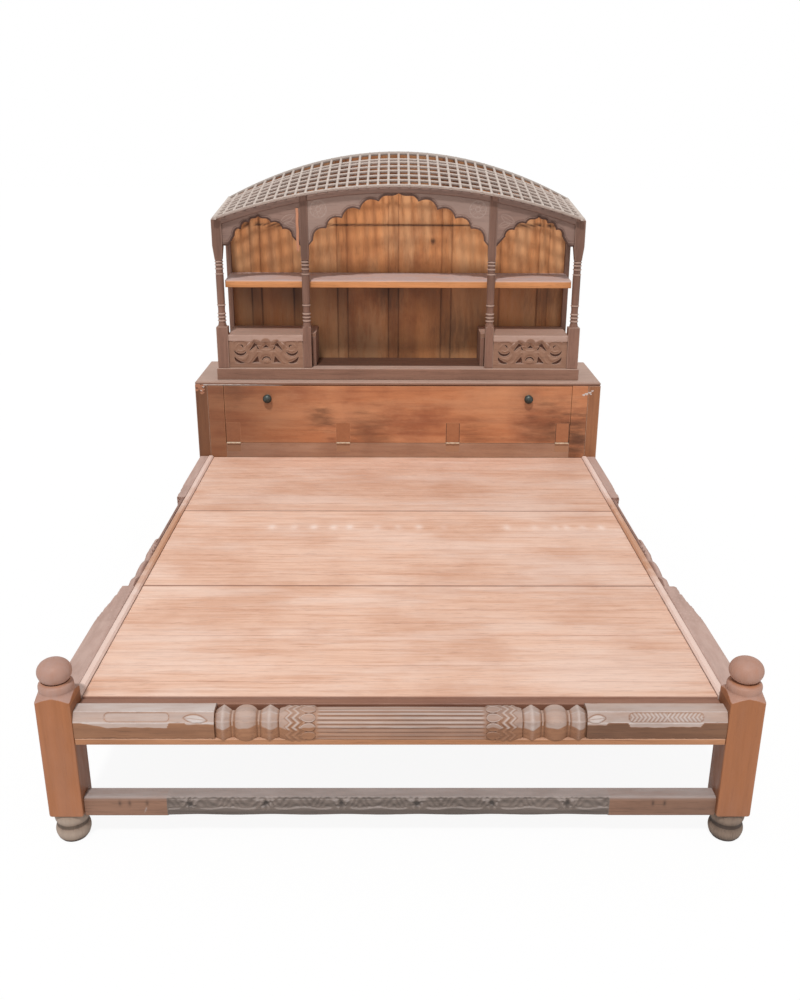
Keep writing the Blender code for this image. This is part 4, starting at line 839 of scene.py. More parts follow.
def stretcher_section(x, tone):
    """A closed section carried along X: the front from the bottom up, the top, back and sole. The
    carving fades out over 4 mm at both ends."""
    low, high = node_box("front_stretcher")
    tall = high[2] - low[2]
    x = x[:, None]
    up = np.linspace(0, tall, 52)[None, :]
    front = np.interp(up, [0, EASE, tall - 0.009, tall - EASE, tall], [0.0028, 0, 0, 0.0022, 0.0060])
    carved = step(np.minimum(x - CARVED_FROM, CARVED_TO - x), 0, 0.004)
    height, marks = vine(x, up)
    sunk = 0.0005 + 0.0055 * (1 - height) * (1 - step(up, tall - 0.006, tall))
    wave = carved * 0.0012 * np.sin(2 * pi * x / 0.19) * (1 - step(up, 0.0, 0.012))
    front_part = grid(x, low[1] + front + carved * sunk, low[2] + np.maximum(up + wave, 0))
    fore, rear = low[1] + 0.012, high[1]
    back_y = np.array([fore, rear - EASE, rear, rear, rear - EASE, fore])
    back_z = np.array([high[2], high[2], high[2] - EASE, low[2] + EASE, low[2], low[2]])
    nick = bump(np.min([np.abs(x - place) for place in NICKS], axis=0), 0.0035)
    scratch = bump(x - SCRATCH_X - 0.35 * (up - SCRATCH_UP), 0.0016) * bump(up - SCRATCH_UP, 0.008)
    nicks = (1 - carved) * (1.2 * scratch - 0.8 * nick * bump(up - NICK_UP, 0.008))
    relief = np.concatenate([carved * marks + nicks + tone, np.zeros((len(x), len(back_y)))], 1)
    points = np.concatenate([front_part, grid(x, back_y, back_z)], 1)
    return closed(points, np.clip(relief, -1, 1))


rail_end = node_box("front_stretcher")[1][0]
carved_part = stretcher_section(np.linspace(CARVED_FROM, CARVED_TO, 640), 0.0)
plain_parts = [stretcher_section(np.linspace(-rail_end, CARVED_FROM, 80), 0.0),
               stretcher_section(np.linspace(CARVED_TO, rail_end, 90), -0.18)]
piece("front_stretcher_carved", [carved_part], stretcher_teak, ["front_stretcher"],
      crease=40)
piece("front_stretcher_ends", plain_parts, rail_end_teak, [], crease=40)

# %% [markdown]
# ## The deck
# Three loose panels of boards, laid across the bed. The joints between the boards have closed
# in places and opened in others, so each groove comes and goes along its length.

# %% Deck boards
BOARDS, WAVES = 8, 4
JOINT_NEAR = np.array([0, 0.0007, 0.0016, 0.0028, 0.008])
JOINT_HALF, JOINT_DEEP = 0.0011, 0.0016
DAB_Y, DAB_HALF, DAB_DEEP = 1.265 + FRONT, 0.013, 0.024
DABS = ((-0.461, 0.9), (-0.380, 0.6), (-0.308, 0.9), (-0.237, 0.8), (-0.178, 0.9), (-0.078, 0.6),
        (-0.002, 0.5), (0.074, 0.8), (0.165, 0.3), (0.394, 0.7), (0.495, 0.4), (0.570, 0.5),
        (0.612, 0.6), (0.671, 0.5), (0.738, 0.7))      # x and strength


def deck_panel(name, body, seed, tone=0.0):
    """A closed section carried along X. Its top dips at each joint by a narrow mound turned
    upside down, whose depth drifts along the board as a sum of slow waves. A row of pale dabs
    crosses the bed where something was once fixed."""
    low, high = node_box(name)
    deep = high[1] - low[1]
    rng = np.random.default_rng(seed)
    joints = low[1] + deep * np.arange(1, BOARDS) / BOARDS + rng.uniform(-0.006, 0.006, BOARDS - 1)
    near = np.concatenate([-JOINT_NEAR[:0:-1], JOINT_NEAR])
    dab_y = np.clip(DAB_Y + np.linspace(-0.05, 0.05, 11), low[1] + 0.0045, high[1] - 0.0045)
    y = np.unique(np.concatenate([np.linspace(low[1] + 0.004, high[1] - 0.004, 24),
                                  (joints[:, None] + near).ravel(), dab_y]))
    x = np.linspace(low[0], high[0], 220)[:, None]
    often = rng.uniform(1, 9, (WAVES, BOARDS - 1))
    shift = rng.uniform(0, 2 * pi, (WAVES, BOARDS - 1))
    drift = np.sin(x[:, :, None] * often + shift).mean(1)
    depth = np.clip(0.55 + 0.75 * drift, 0.05, 1)
    dip = (depth[:, None, :] * bump(y[None, :, None] - joints, JOINT_HALF)).sum(2)
    cup = 0.0004 * np.sin(2 * pi * (y - low[1]) / deep * BOARDS)
    top = grid(x, y, high[2] - 0.0008 - JOINT_DEEP * dip + cup)
    edge_y = np.array([low[1] + 0.0015, low[1], low[1], high[1], high[1], high[1] - 0.0015])
    edge_z = np.array([high[2] - 0.0006, high[2] - 0.0030, low[2]])
    around = grid(x, edge_y, np.concatenate([edge_z, edge_z[::-1]]))
    points = np.concatenate([around[:, 3:], top[:, ::-1], around[:, :3]], 1)
    # The edge faces of the panels are darker.
    edge_darkening = np.broadcast_to(np.array([-0.5, -0.9, -0.7]), (len(x), 3))
    dab_x, strength = np.array(DABS).T
    dabs = np.max(strength * bump(x - dab_x, DAB_HALF), axis=1, keepdims=True)
    marks = dabs * bump(y - DAB_Y, DAB_DEEP) - 0.95 * dip + tone
    relief = np.concatenate([edge_darkening, marks[:, ::-1], edge_darkening[:, ::-1]], 1)
    piece(f"{name}_boards", [closed(points, relief)], deck_teak, [name], body, 50)


deck_panel("front_deck", "front_panel", 3)
deck_panel("middle_deck", "middle_panel", 5)
deck_panel("rear_deck", "bed", 8, -0.08)

# %% [markdown]
# ## The roof's curve
# The window's lattice roof is a shallow vault that rises towards the head. Every piece under it
# is cut to this curve, so it comes first, as a few small formulas.

# %% The roof's curve
ROOF_FRONT, ROOF_BACK = 2.125, 2.400
ROOF_HALF, HALF_LESS = 0.7654, 0.0304      # half the width in front, and how much less behind
APEX, APEX_MORE = 1.5273, 0.1257           # the crown's height, and how much it climbs
EAVE_DROP, DROP_MORE = 0.1320, 0.0610      # from the crown to the eaves
BAR = 0.011


def roof_half(y):
    """Half the roof's width at a depth."""
    return ROOF_HALF - HALF_LESS * (y - ROOF_FRONT) / (ROOF_BACK - ROOF_FRONT)


def roof_height(x, y):
    """The middle of the lattice: apex - drop (x / half)^2, straight from the front to the back."""
    back = (y - ROOF_FRONT) / (ROOF_BACK - ROOF_FRONT)
    return APEX + APEX_MORE * back - (EAVE_DROP + DROP_MORE * back) * (x / roof_half(y)) ** 2


def under_roof(x, y):
    """Where a piece under the lattice ends: half a bar below its middle, square to the slope."""
    rise = (roof_height(x, ROOF_BACK) - roof_height(x, ROOF_FRONT)) / (ROOF_BACK - ROOF_FRONT)
    fall = 2 * (EAVE_DROP + DROP_MORE) * x / (ROOF_HALF - HALF_LESS) ** 2
    return roof_height(x, y) - BAR / 2 * np.sqrt(1 + rise ** 2 + fall ** 2) - 0.0003


print("roof from", round(roof_height(ROOF_HALF, ROOF_FRONT), 3),
      "to", round(roof_height(0, ROOF_BACK), 3))

# %% [markdown]
# ## Columns of the balcony window
# Four slim columns were turned between a square foot and a square head. Thin rings stand on the
# core; their crests are painted pale as a highlight, and the core beside them dark as shade.

# %% Slim columns
TURN_START, TURN_STOP = 0.9500, 1.2278
CORE_Z = [0.9500, 0.9579, 0.9657, 1.0091, 1.0229, 1.0347, 1.0514, 1.1618, 1.1726, 1.2278]
CORE_R = [0.0187, 0.0172, 0.0152, 0.0150, 0.0146, 0.0154, 0.0162, 0.0166, 0.0152, 0.0150]
RINGS = np.array([(0.9696, 0.9785), (0.9844, 0.9933), (0.9992, 1.0081), (1.0357, 1.0446),
                  (1.1664, 1.1744), (1.1876, 1.1956), (1.2037, 1.2117), (1.2165, 1.2245)])
RING_R, SLIM_POWER = 0.0180, 24
OUTER, INNER = (0.0493, 0.0433, 1.2869), (0.0355, 0.0335, 1.2524)   # foot, head, start of the head


def slim_column(name, block, head, head_start, tone):
    """A turned core with cushions on it: each ring reaches r sqrt(1 - |t|^4) across its height,
    and the larger reach wins. Below and above, the wood is a square with eased corners, and the
    top is cut to the roof."""
    low, high = node_box(name)
    middle = (low + high) / 2
    z = np.concatenate([[low[2], low[2] + 0.002], np.linspace(0.78, TURN_START - 0.004, 6),
                        [TURN_START - 0.002], np.linspace(TURN_START, TURN_STOP, 236),
                        [TURN_STOP + 0.001, head_start, head_start + 0.02, high[2] - 0.004,
                         high[2]]])[:, None]
    core = np.interp(z, CORE_Z, CORE_R)
    t = np.abs(2 * z - RINGS.sum(1)) / (RINGS[:, 1] - RINGS[:, 0])
    rings = np.max(RING_R * np.sqrt(np.clip(1 - t ** 4, 0, 1)), axis=1, keepdims=True)
    beside = np.max(bump(t - 1.15, 0.12), axis=1, keepdims=True)
    is_square = (z < TURN_START) | (z > TURN_STOP)
    square_r = np.where(z < TURN_START, block / 2,
                        np.interp(z, [TURN_STOP, head_start], [CORE_R[-1], head / 2]))
    angle = circle(48)
    ends = np.interp(z, [low[2], low[2] + 0.002, TURN_START - 0.003, TURN_START], [0.95, 1, 1, 0.93])
    ends = np.where(z > TURN_START, 1, ends)
    square = square_r * soft_square(angle, SLIM_POWER) * ends
    reach = np.where(is_square, square, np.maximum(core, rings))
    x = middle[0] + reach * np.cos(angle)
    y = np.clip(middle[1] + reach * np.sin(angle), low[1], high[1])
    roof_z = np.where(z >= high[2] - 0.0041, under_roof(x, y - FRONT) - (high[2] - z), z)
    # Painted light: each ring's crest is painted pale as a highlight and the core beside it dark as
    # shade. The corners of the square parts are worn pale.
    corner = bump(np.mod(angle, pi / 2) - pi / 4, 0.06)
    crest = (rings > core) * bump(rings / RING_R - 1, 0.25)
    relief = np.where(is_square, 0.40 * corner, 1.1 * crest - 0.9 * beside * (rings <= core)) + tone
    piece(f"{name}_turned", [closed(grid(x, y, roof_z), relief)], frame_teak, [name],
          crease=30)


slim_column("left_outer_column", *OUTER, 0.0)
slim_column("right_outer_column", *OUTER, 0.0)
slim_column("left_inner_column", *INNER, -0.20)
slim_column("right_inner_column", *INNER, 0.0)

# %% [markdown]
# ## Cusped arches
# Thin boards sawn to a scalloped edge, with a dark bead along it and a moulding under the roof.
# The lower edge is a row of arcs between cusps, and the board is the surface between that edge
# and the roof. Rosettes and leaves were only scratched in, so they are shallow grooves.

# %% The scalloped edge
ARCH_SPRING, CUSP_TURN = 1.2869, 0.9
TOP_BULGE, ARC_BULGE, TOP_SWING = 0.08, 0.27, 0.07


def scallops(low, high, rise, lobes, last):
    """Arcs between cusps. Cusp i lies at the share last sin(0.9 i/n) / sin 0.9 of the half width,
    and falls by 0.71 s + 0.29 s^5 of the rise. An arc bulges 4 b t (1 - t) square to its chord,
    and the top one swings in and out once, so that it ends in a point."""
    middle, half = (low + high) / 2, (high - low) / 2
    share = last * np.sin(CUSP_TURN * np.arange(1, lobes + 1) / lobes) / sin(CUSP_TURN)
    share = np.concatenate([[0], share, [1]])
    cusp_x = middle + half * share
    cusp_z = ARCH_SPRING + rise * (1 - 0.71 * share - 0.29 * share ** 5)
    bulge = np.concatenate([[TOP_BULGE], np.full(lobes - 1, ARC_BULGE), [0.0]])[:, None]
    t = np.linspace(0, 1, 22, endpoint=False)[None, :]
    dx, dz = np.diff(cusp_x)[:, None], np.diff(cusp_z)[:, None]
    out = 4 * bulge * t * (1 - t)
    out[0] -= TOP_SWING * np.sin(2 * pi * t[0])
    x = np.append((cusp_x[:-1, None] + dx * t - out * dz).ravel(), cusp_x[-1])
    z = np.append((cusp_z[:-1, None] + dz * t + out * dx).ravel(), cusp_z[-1])
    return np.concatenate([2 * middle - x[:0:-1], x]), np.concatenate([z[:0:-1], z])


# %% Scratched flowers
SCRATCH_HALF = 0.0016


def rosette(x, z, size):
    """Two scratched circles and eight petals: a groove where the distance from the middle meets
    a radius that swells with cos 8a."""
    far, turn = np.hypot(x, z), np.arctan2(z, x)
    rings = bump(far - size, SCRATCH_HALF) + bump(far - 0.28 * size, SCRATCH_HALF)
    petals = bump(far - size * (0.62 + 0.24 * np.cos(8 * turn)), 0.0018) * (far < 0.95 * size)
    return np.clip(rings + petals, 0, 1)


def scratched_leaf(x, z, size, lean):
    """The outline and the vein of an almond that leans to one side."""
    u, w = x * cos(lean) + z * sin(lean), z * cos(lean) - x * sin(lean)
    wide = 0.42 * size * np.clip(1 - (u / size) ** 2, 0, 1)
    outline = bump(np.abs(w) - wide, SCRATCH_HALF) * (np.abs(u) < size)
    return np.clip(outline + bump(w, 0.0013) * (np.abs(u) < 0.8 * size), 0, 1)


# %% Arch boards
BRACKET, APEX_OUT = 0.0236, 0.010
ARCH_Y, ARCH_THICK, MOULDING_Y, MOULDING_TALL, MOULDING_R = 2.155, 0.018, 2.145, 0.0315, 0.011
# Painted light along the profile: shade under the quarter round and in the step's corner, a faint
# highlight on the top edge, and the front a little darker.
MOULDING_PAINTED_LIGHT = np.array([-0.9, -0.6, -0.15, -0.1, -0.05, 0.0, -0.4, 0.1, 0, -0.7])
ROSETTES = [(-0.331, 1.4346, 0.0335, None), (0.327, 1.4356, 0.0335, None)]     # x, z, size, lean
LEFT_LEAVES = [(-0.459, 1.3952, 0.0335, 0.5), (-0.445, 1.3736, 0.0256, -0.3)]
RIGHT_LEAVES = [(0.451, 1.3972, 0.0335, -0.5), (0.439, 1.3755, 0.0256, 0.3)]


def moulding(left, right):
    """A quarter round, a flat band and a small step over it, carried along X under the roof."""
    x = np.linspace(left, right, 60)[:, None]
    turn = np.linspace(0, pi / 2, 5)
    y = np.concatenate([MOULDING_R * (1 - np.sin(turn)), [0, 0.002, 0.002, 0.038, 0.038]])
    z = np.concatenate([MOULDING_R * (1 - np.cos(turn)) - MOULDING_TALL,
                        [-0.009, -0.009, 0, 0, -MOULDING_TALL]])
    return closed(grid(x, MOULDING_Y + FRONT + y, under_roof(x, MOULDING_Y) + z), MOULDING_PAINTED_LIGHT)


def arch(name, rise, lobes, last, motifs, tone, outer=0):
    """The board is the straight line from each point of the edge to the roof above it. The
    distance to the edge gives the bead. On its outer side a side arch ends in a short bracket."""
    low, high = node_box(name)
    edge_x, edge_z = scallops(low[0], high[0], rise, lobes, last)
    if outer:
        middle, half = (low[0] + high[0]) / 2, (high[0] - low[0]) / 2
        off = edge_x - middle
        stretch = np.where(off * outer > 0, 1 - (BRACKET + APEX_OUT) / half, 1 + APEX_OUT / half)
        edge_x = middle + outer * APEX_OUT + off * stretch
        edge_x = np.append(edge_x[::outer], middle + outer * half)[::outer]
        edge_z = np.append(edge_z[::outer], ARCH_SPRING)[::outer]
    top_x = np.clip(np.maximum.accumulate(edge_x), low[0], high[0])
    top_z = under_roof(top_x, MOULDING_Y) - 0.014
    t = runs((0, 0.2, 14), (0.22, 1, 44))[None, :]
    x = edge_x[:, None] + (top_x - edge_x)[:, None] * t
    z = edge_z[:, None] + (top_z - edge_z)[:, None] * t
    away = np.min(np.hypot(x[:, :, None] - edge_x, z[:, :, None] - edge_z), axis=2)
    scratch = np.zeros_like(x)
    for place_x, place_z, size, lean in motifs:
        here = x - place_x, z - place_z, size
        scratch = np.maximum(scratch, rosette(*here) if lean is None else scratched_leaf(*here, lean))
    face = ARCH_Y + FRONT
    carving = 0.0012 * bump(away - 0.0110, 0.0014) - 0.0018 * bump(away - 0.0046, 0.0034)
    front = grid(x, face + carving + 0.0010 * scratch, z)
    back = grid(x[:, [-1, 0]], face + ARCH_THICK, z[:, [-1, 0]])
    relief = tone + 0.45 * scratch - 1.0 * (away < 0.0076) - 0.40 * bump(away - 0.0108, 0.0024)
    relief = np.clip(np.concatenate([relief, np.full((len(x), 2), -0.6)], 1), -1, 1)
    board = closed(np.concatenate([front, back], 1), relief)
    piece(f"{name}_board", [board, moulding(low[0], high[0])], fascia_teak, [name],
          crease=40)


arch("centre_arch", 0.2108, 5, 0.95, ROSETTES, 0.22)
arch("left_arch", 0.1182, 3, 0.80, LEFT_LEAVES, -0.10, -1)
arch("right_arch", 0.1182, 3, 0.80, RIGHT_LEAVES, -0.10, 1)

# %% [markdown]
# ## Carved boxes
# Beside the niche stand two small chests. The carver left most of the front standing: a palmette
# that climbs over the lip, a scroll on each side, two broad leaves and a lotus below. Only the
# gaps between them were cut away, so the gaps are what is drawn here.


# %% Shapes of the gaps
def wedge(x, z, corners):
    """How far a place lies inside a triangle: the least distance from its three sides. The
    corners run against the clock."""
    sides = zip(corners, corners[1:] + corners[:1])
    return np.min([((c - a) * (z - b) - (d - b) * (x - a)) / np.hypot(c - a, d - b)
                   for (a, b), (c, d) in sides], axis=0)


def moon(x, z, place, radius, thick, start, stop):
    """How far a place lies inside a crescent, which is thick sin(pi t) wide, with t from start
    to stop round its middle."""
    t = np.mod(np.arctan2(z - place[1], x - place[0]) - start, 2 * pi) / (stop - start)
    half = thick / 2 * np.sin(pi * np.clip(t, 0, 1)) - 0.001 * (t > 1)
    return half - np.abs(np.hypot(x - place[0], z - place[1]) - radius)


def cut_away(m, z):
    """The gaps, 1 where they are cut through and 0 on the leaves, and how near a leaf's edge is.
    m is the distance from the middle of the box, so both halves are alike, z the height above
    its foot."""
    gaps = [
        wedge(m, z, [(-0.0120, 0.0880), (0.0120, 0.0880), (0.0, 0.1010)]),
        wedge(m, z, [(0.0370, 0.0990), (0.0715, 0.0745), (0.0495, 0.1085)]),
        wedge(m, z, [(0.0300, 0.0800), (0.0350, 0.0795), (0.0425, 0.1000)]),
        moon(m, z, (0.1105, 0.0845), 0.0280, 0.0100, -2.65, -0.35),
        moon(m, z, (0.1040, 0.0560), 0.0340, 0.0120, -1.85, -0.25),
        wedge(m, z, [(0.0320, 0.0225), (0.0610, 0.0225), (0.0370, 0.0505)]),
        moon(m, z, (0.0, 0.0280), 0.0190, 0.0050, 0.05, pi - 0.05),
        moon(m, z, (0.1080, 0.0900), 0.0085, 0.0038, 0.9, 3.6),
    ]
    inside = np.max(gaps, axis=0)
    return step(inside, -0.0006, 0.0010), bump(np.minimum(inside, 0), 0.0075)


# %% Carved fronts
LOBES = ((0.0, 0.1120, 0.0190), (0.0425, 0.1055, 0.0195), (0.0690, 0.0985, 0.0150))
LIP_TALL, FACE_BACK, GAP_DEEP = 0.0280, 0.006, 0.0100
LIP_UP, LIP_OUT = np.array([0, 0.0003, 0.003, 0.022, LIP_TALL]), [0, 0.0022, 0.0036, 0.0038, 0.002]
NICK = [(0.066, 0.1120), (0.0995, 0.0815), (0.0690, 0.1135)]


def box_front(name):
    """A closed section carried along X: the leaves lie level with the frame, the gaps are sunk,
    and a proud lip runs above. Round lobes of the palmette, |p - c| < r, climb over the lip."""
    low, high = node_box(name)
    x = np.linspace(low[0], high[0], 240)[:, None]
    m = np.abs(x - (low[0] + high[0]) / 2)
    lip = high[2] - LIP_TALL
    z = runs((low[2], lip - 0.0005, 108), (lip + 0.0002, lip + 0.0245, 24),
             (lip + 0.0265, lip + LIP_TALL, 2))[None, :]
    up = z - low[2]
    on_lip = z > lip
    gap, near = cut_away(m, up)
    lobe = np.max([r - np.hypot(m - a, up - b) for a, b, r in LOBES], axis=0)
    over = step(lobe, 0, 0.0012)
    field = step(up, 0.0190, 0.0225) * step(0.1400 - m, 0, 0.003)
    pillow = 0.0022 * np.sqrt(np.clip(lobe / 0.012, 0, 1)) + field * (0.0030 - 0.0055 * near)
    lip_out = np.interp(z, lip + LIP_UP, LIP_OUT) * on_lip
    proud = np.maximum(lip_out, pillow + 0.0026 * over * on_lip) * (1 - gap)
    front = grid(x, low[1] + FACE_BACK + GAP_DEEP * gap * ~on_lip - proud, z)
    rear = grid(x, high[1], np.array([high[2], low[2]]))
    # Painted light: a highlight along the lower edge of the carved field, the gaps painted dark as
    # shade, and the leaves a little darker near the gaps as shade.
    ledge = bump(up - 0.0205, 0.0012) * ((np.abs(m - 0.040) < 0.018) | (np.abs(m - 0.115) < 0.021))
    relief = 0.55 * ledge + 0.7 * step(wedge(m, up, NICK), -0.0006, 0.0004) - 0.85 * gap
    relief = relief - 0.30 * bump(lobe, 0.0014) * (up > 0.085) - 0.12 * near * field
    relief = relief + on_lip * (0.58 * (1 - over) - 0.22 * over)
    relief = np.clip(np.concatenate([relief, np.zeros((len(x), 2))], 1), -1, 1)
    piece(f"{name}_carved", [closed(np.concatenate([front, rear], 1), relief)], box_teak,
          [name], crease=40)


for name in ("left_box_front", "right_box_front"):
    box_front(name)

# %% [markdown]
# ## Back boards
# Wide upright boards close the back, each joint under a flat cover strip. One height is all it
# takes: the strips stand out by a soft step, and a dark seam crosses where two lengths meet.

# %% Boards with cover strips
STRIP_X = np.array([-0.626, -0.440, -0.246, -0.021, 0.213, 0.426, 0.639])
STRIP_WIDTH, STRIP_PROUD = 0.042, 0.006
STRIP_SIDES = np.array([0, 0.015, 0.0206, 0.0212, 0.0222, 0.0245, 0.0280])
SEAM_Z, SHELF_Z, BOARDS_Y = 1.353, 1.130, 2.375


def back_boards():
    """Front face y0 - p s(x), where s is 1 on a strip and 0 between. The top follows the roof.
    Painted shade darkens the boards under the shelf, where its shadow falls, and high up under the
    roof."""
    low, high = node_box("back_panel")
    sides = np.concatenate([-STRIP_SIDES[:0:-1], STRIP_SIDES])
    x = np.concatenate([np.linspace(low[0], high[0], 40), (STRIP_X[:, None] + sides).ravel()])
    x = np.clip(np.sort(x)[:, None], low[0], high[0])
    off = np.abs(x[:, :, None] - STRIP_X)
    proud = step(STRIP_WIDTH / 2 + 0.0003 - np.min(off, axis=2), 0, 0.0008)
    share = runs((0, 0.6, 30), (0.61, 0.80, 40), (0.82, 1, 12))[None, :]
    z = low[2] + (under_roof(x, BOARDS_Y) + 0.005 - low[2]) * share
    seam = bump(z - SEAM_Z, 0.0038)
    front = grid(x, low[1] + STRIP_PROUD * (1 - proud) + 0.0025 * seam, z)
    rear = grid(x, high[1], z[:, [-1, 0]])
    edges = bump(np.min(np.abs(off - 0.0226), axis=2), 0.0022)
    # Painted shade: the shelf's shadow on the boards below it, uneven and lighter to the right, and the
    # shade high up under the roof.
    shade_wobble = 0.12 * np.sin(7.3 * x + 2) * np.sin(17 * z + 1 + 3 * x) + 0.08 * np.sin(31 * x + 9 * z)
    below = (0.40 + 0.26 * step(z, 0.92, 1.08) + shade_wobble) * (1 - 0.25 * step(x, 0.42, 0.62))
    painted_shade = step(SHELF_Z - z, 0, 0.015) * below + 0.5 * step(z, 1.490, 1.510)
    relief = np.clip(-1.0 * seam - 0.30 * edges - 0.08 * proud - painted_shade, -1, 1)
    relief = np.concatenate([relief, np.zeros((len(x), 2))], 1)
    piece("back_panel_boards", [closed(np.concatenate([front, rear], 1), relief)], back_teak,
          ["back_panel"], crease=40)


back_boards()

# %% [markdown]
# ## The shelf and a repair
# A thick shelf crosses the niche, its front edge rounded by use. On the left inner column someone
# let in a strip of newer, orange wood. Both are small sections carried along a line.

# %% Shelf
SHELF_STEP, SHELF_NARROW = 2.3474 + FRONT, 0.7290
SHELF_NOSE, SHELF_SOLE, SHELF_SAG, SHELF_UP = 0.008, 0.003, 0.0060, 0.003
SHELF_WORN = np.array([0, 0, 0, 0, 0, 0, 0, 0, 0.2, 0.5, 0.85, 1.0, 1.0, 1.0, 1.0, 0])


def shelf():
    """A closed section along X whose nose is two quarter rounds and has sagged a little, and a
    narrower strip behind it that passes between the rear posts."""
    low, high = node_box("shelf")
    turn = np.linspace(0, pi / 2, 7)
    top, sole = high[2] + SHELF_UP, low[2]
    nose_y = low[1] + np.concatenate([SHELF_SOLE * (1 - np.sin(turn)), SHELF_NOSE * (1 - np.cos(turn))])
    nose_z = np.concatenate([sole + SHELF_SOLE * (1 - np.cos(turn)),
                             high[2] - SHELF_NOSE * (1 - np.sin(turn))])
    front = grid(np.linspace(low[0], high[0], 60)[:, None], np.append(nose_y, [SHELF_STEP, SHELF_STEP]),
                 np.append(nose_z - SHELF_SAG, [top, sole]))
    strip = grid(np.array([-SHELF_NARROW, SHELF_NARROW])[:, None],
                 np.array([SHELF_STEP, SHELF_STEP, high[1], high[1]]), np.array([sole, top, top, sole]))
    piece("shelf_board", [closed(front, SHELF_WORN), closed(strip, 0.0)], shelf_teak,
          ["shelf"])


shelf()

# %% Strip of new wood
SPLINT_X, SPLINT_FROM, SPLINT_TO = -0.4235, 1.2665, 1.4385


def splint():
    """A flat strip with a soft front, 11 mm wide, whose sides waver a little along Z."""
    low = node_box("left_inner_column")[0]
    z = np.linspace(SPLINT_FROM, SPLINT_TO, 24)[:, None]
    x = SPLINT_X + np.array([0, 0, 0.0015, 0.0095, 0.011, 0.011]) + 0.0008 * np.sin(90 * z)
    y = low[1] + np.array([0.002, -0.0008, -0.0014, -0.0014, -0.0008, 0.002])
    piece("left_inner_column_splint", [closed(grid(x, y, z), 0.0)], splint_teak, [])


splint()

# %% [markdown]
# ## Lattice roof
# Thin bars cross on a shallow vault: straight ones from front to back, bent ones from side to
# side. A rounded square is carried along each line, and a low stud marks every crossing.

# %% Bars
COLUMNS = 36
ROW_SHARES = np.array([0, 0.145, 0.290, 0.430, 0.570, 0.705, 0.790])      # closer towards the top
RIM_Y = ROOF_BACK - 0.0115     # the flat bar that closes the back


def bars(path, wide, deep, lean=0.0):
    """A rounded square (|cos|^p, |sin|^p) carried along a stack of paths. side is square to the
    path, level or leaning with the roof, and up is square to both."""
    along = np.gradient(path, axis=1)
    along /= np.linalg.norm(along, axis=2, keepdims=True)
    side = np.cross(along, (0.0, 0.0, 1.0))
    side[..., 2] = lean * side[..., 1]
    side /= np.linalg.norm(side, axis=2, keepdims=True)
    up = np.cross(side, along)
    angle = circle(12) + pi / 12
    ring_a, ring_b = [(np.sign(part) * np.abs(part) ** 0.5 * size / 2)[:, None]
                      for part, size in ((np.cos(angle), wide), (np.sin(angle), deep))]
    rings = path[:, :, None] + side[:, :, None] * ring_a + up[:, :, None] * ring_b
    first, last = [np.broadcast_to(end[:, :, None], rings[:, :1].shape)
                   for end in (path[:, :1], path[:, -1:])]
    return np.concatenate([first, rings, last], 1)


def on_roof(share, y):
    """The place on the roof at a share of its half width and a depth."""
    x = share * (roof_half(y) - BAR / 2)
    return grid(x, y + FRONT, roof_height(x, y))


# %% The lattice
LONG_BAR, HIP_WIDE, HIP_DEEP, RIM_DEEP, RIM_DROP = 0.0105, 0.0180, 0.0115, 0.019, 0.004
HIP_SHARE, ROW_REACH = 0.994, 1.004
STUD_R, STUD_SHARES, STUD_UP = 0.0058, np.array([1.0, 0.8, 0.0]), np.array([0.0040, 0.0062, 0.0070])
STUD_FALL, STUD_RISE = 2 * 0.16 / 0.76 ** 2, 0.40      # how the studs lie with the roof


def lattice():
    """Bars front to back at equal shares of the width, bars across at shares of the depth, and
    a deeper bar as the rim at the back."""
    across = np.linspace(-1, 1, COLUMNS + 1)
    y = ROOF_FRONT + BAR / 2 + (RIM_Y - ROOF_FRONT - BAR / 2) * ROW_SHARES
    run = np.linspace(ROOF_FRONT + 0.0002, ROOF_BACK - 0.004, 15)[None, :]
    fine = np.linspace(-ROW_REACH, ROW_REACH, 4 * COLUMNS + 1)
    lean = (APEX_MORE - DROP_MORE * fine ** 2) / (ROOF_BACK - ROOF_FRONT)
    long = bars(on_roof(across[1:-1, None], run), LONG_BAR, LONG_BAR)
    hips = bars(on_roof(np.array([[-HIP_SHARE], [HIP_SHARE]]), run), HIP_WIDE, HIP_DEEP)
    short = bars(on_roof(fine[None, :], y[:, None]), BAR, BAR, lean)
    rim_path = on_roof(fine[None, :], np.array([[RIM_Y]])) - np.array([0, 0, RIM_DROP])
    rim = bars(rim_path, 2 * (ROOF_BACK - RIM_Y), RIM_DEEP, lean)
    crossing = on_roof(across[:, None], y[None, :]).reshape(-1, 1, 1, 3)
    turn, reach = circle(8), STUD_R * STUD_SHARES[:, None]
    stud = grid(reach * np.cos(turn), reach * np.sin(turn), STUD_UP[:, None])
    studs = crossing + stud
    studs[..., 2] += STUD_RISE * stud[..., 1] - STUD_FALL * crossing[..., 0] * stud[..., 0]
    # The studs at the crossings are painted pale as highlights.
    piece("roof_lattice_bars", [(long, 0.1), (short, 0.2), (rim, -0.6), (hips, 0.8), (studs, 0.95)],
          lattice_teak, ["roof_lattice"], crease=50)


lattice()

# %% [markdown]
# ## Iron knobs
# Two domed pulls on the flap: a thin rose, a short stem and a low dome with a rim.

# %% Knobs
KNOB_OUT = np.array([0, 0, 0.0022, 0.0030, 0.0036, 0.0105, 0.0120, 0.0128, 0.0150, 0.0170, 0.0200,
                     0.0232, 0.0258, 0.0274, 0.0280])[:, None]
KNOB_R = np.array([0.0100, 0.0168, 0.0170, 0.0160, 0.0072, 0.0070, 0.0100, 0.0175, 0.0190, 0.0184,
                   0.0168, 0.0136, 0.0094, 0.0045, 0.0004])[:, None]


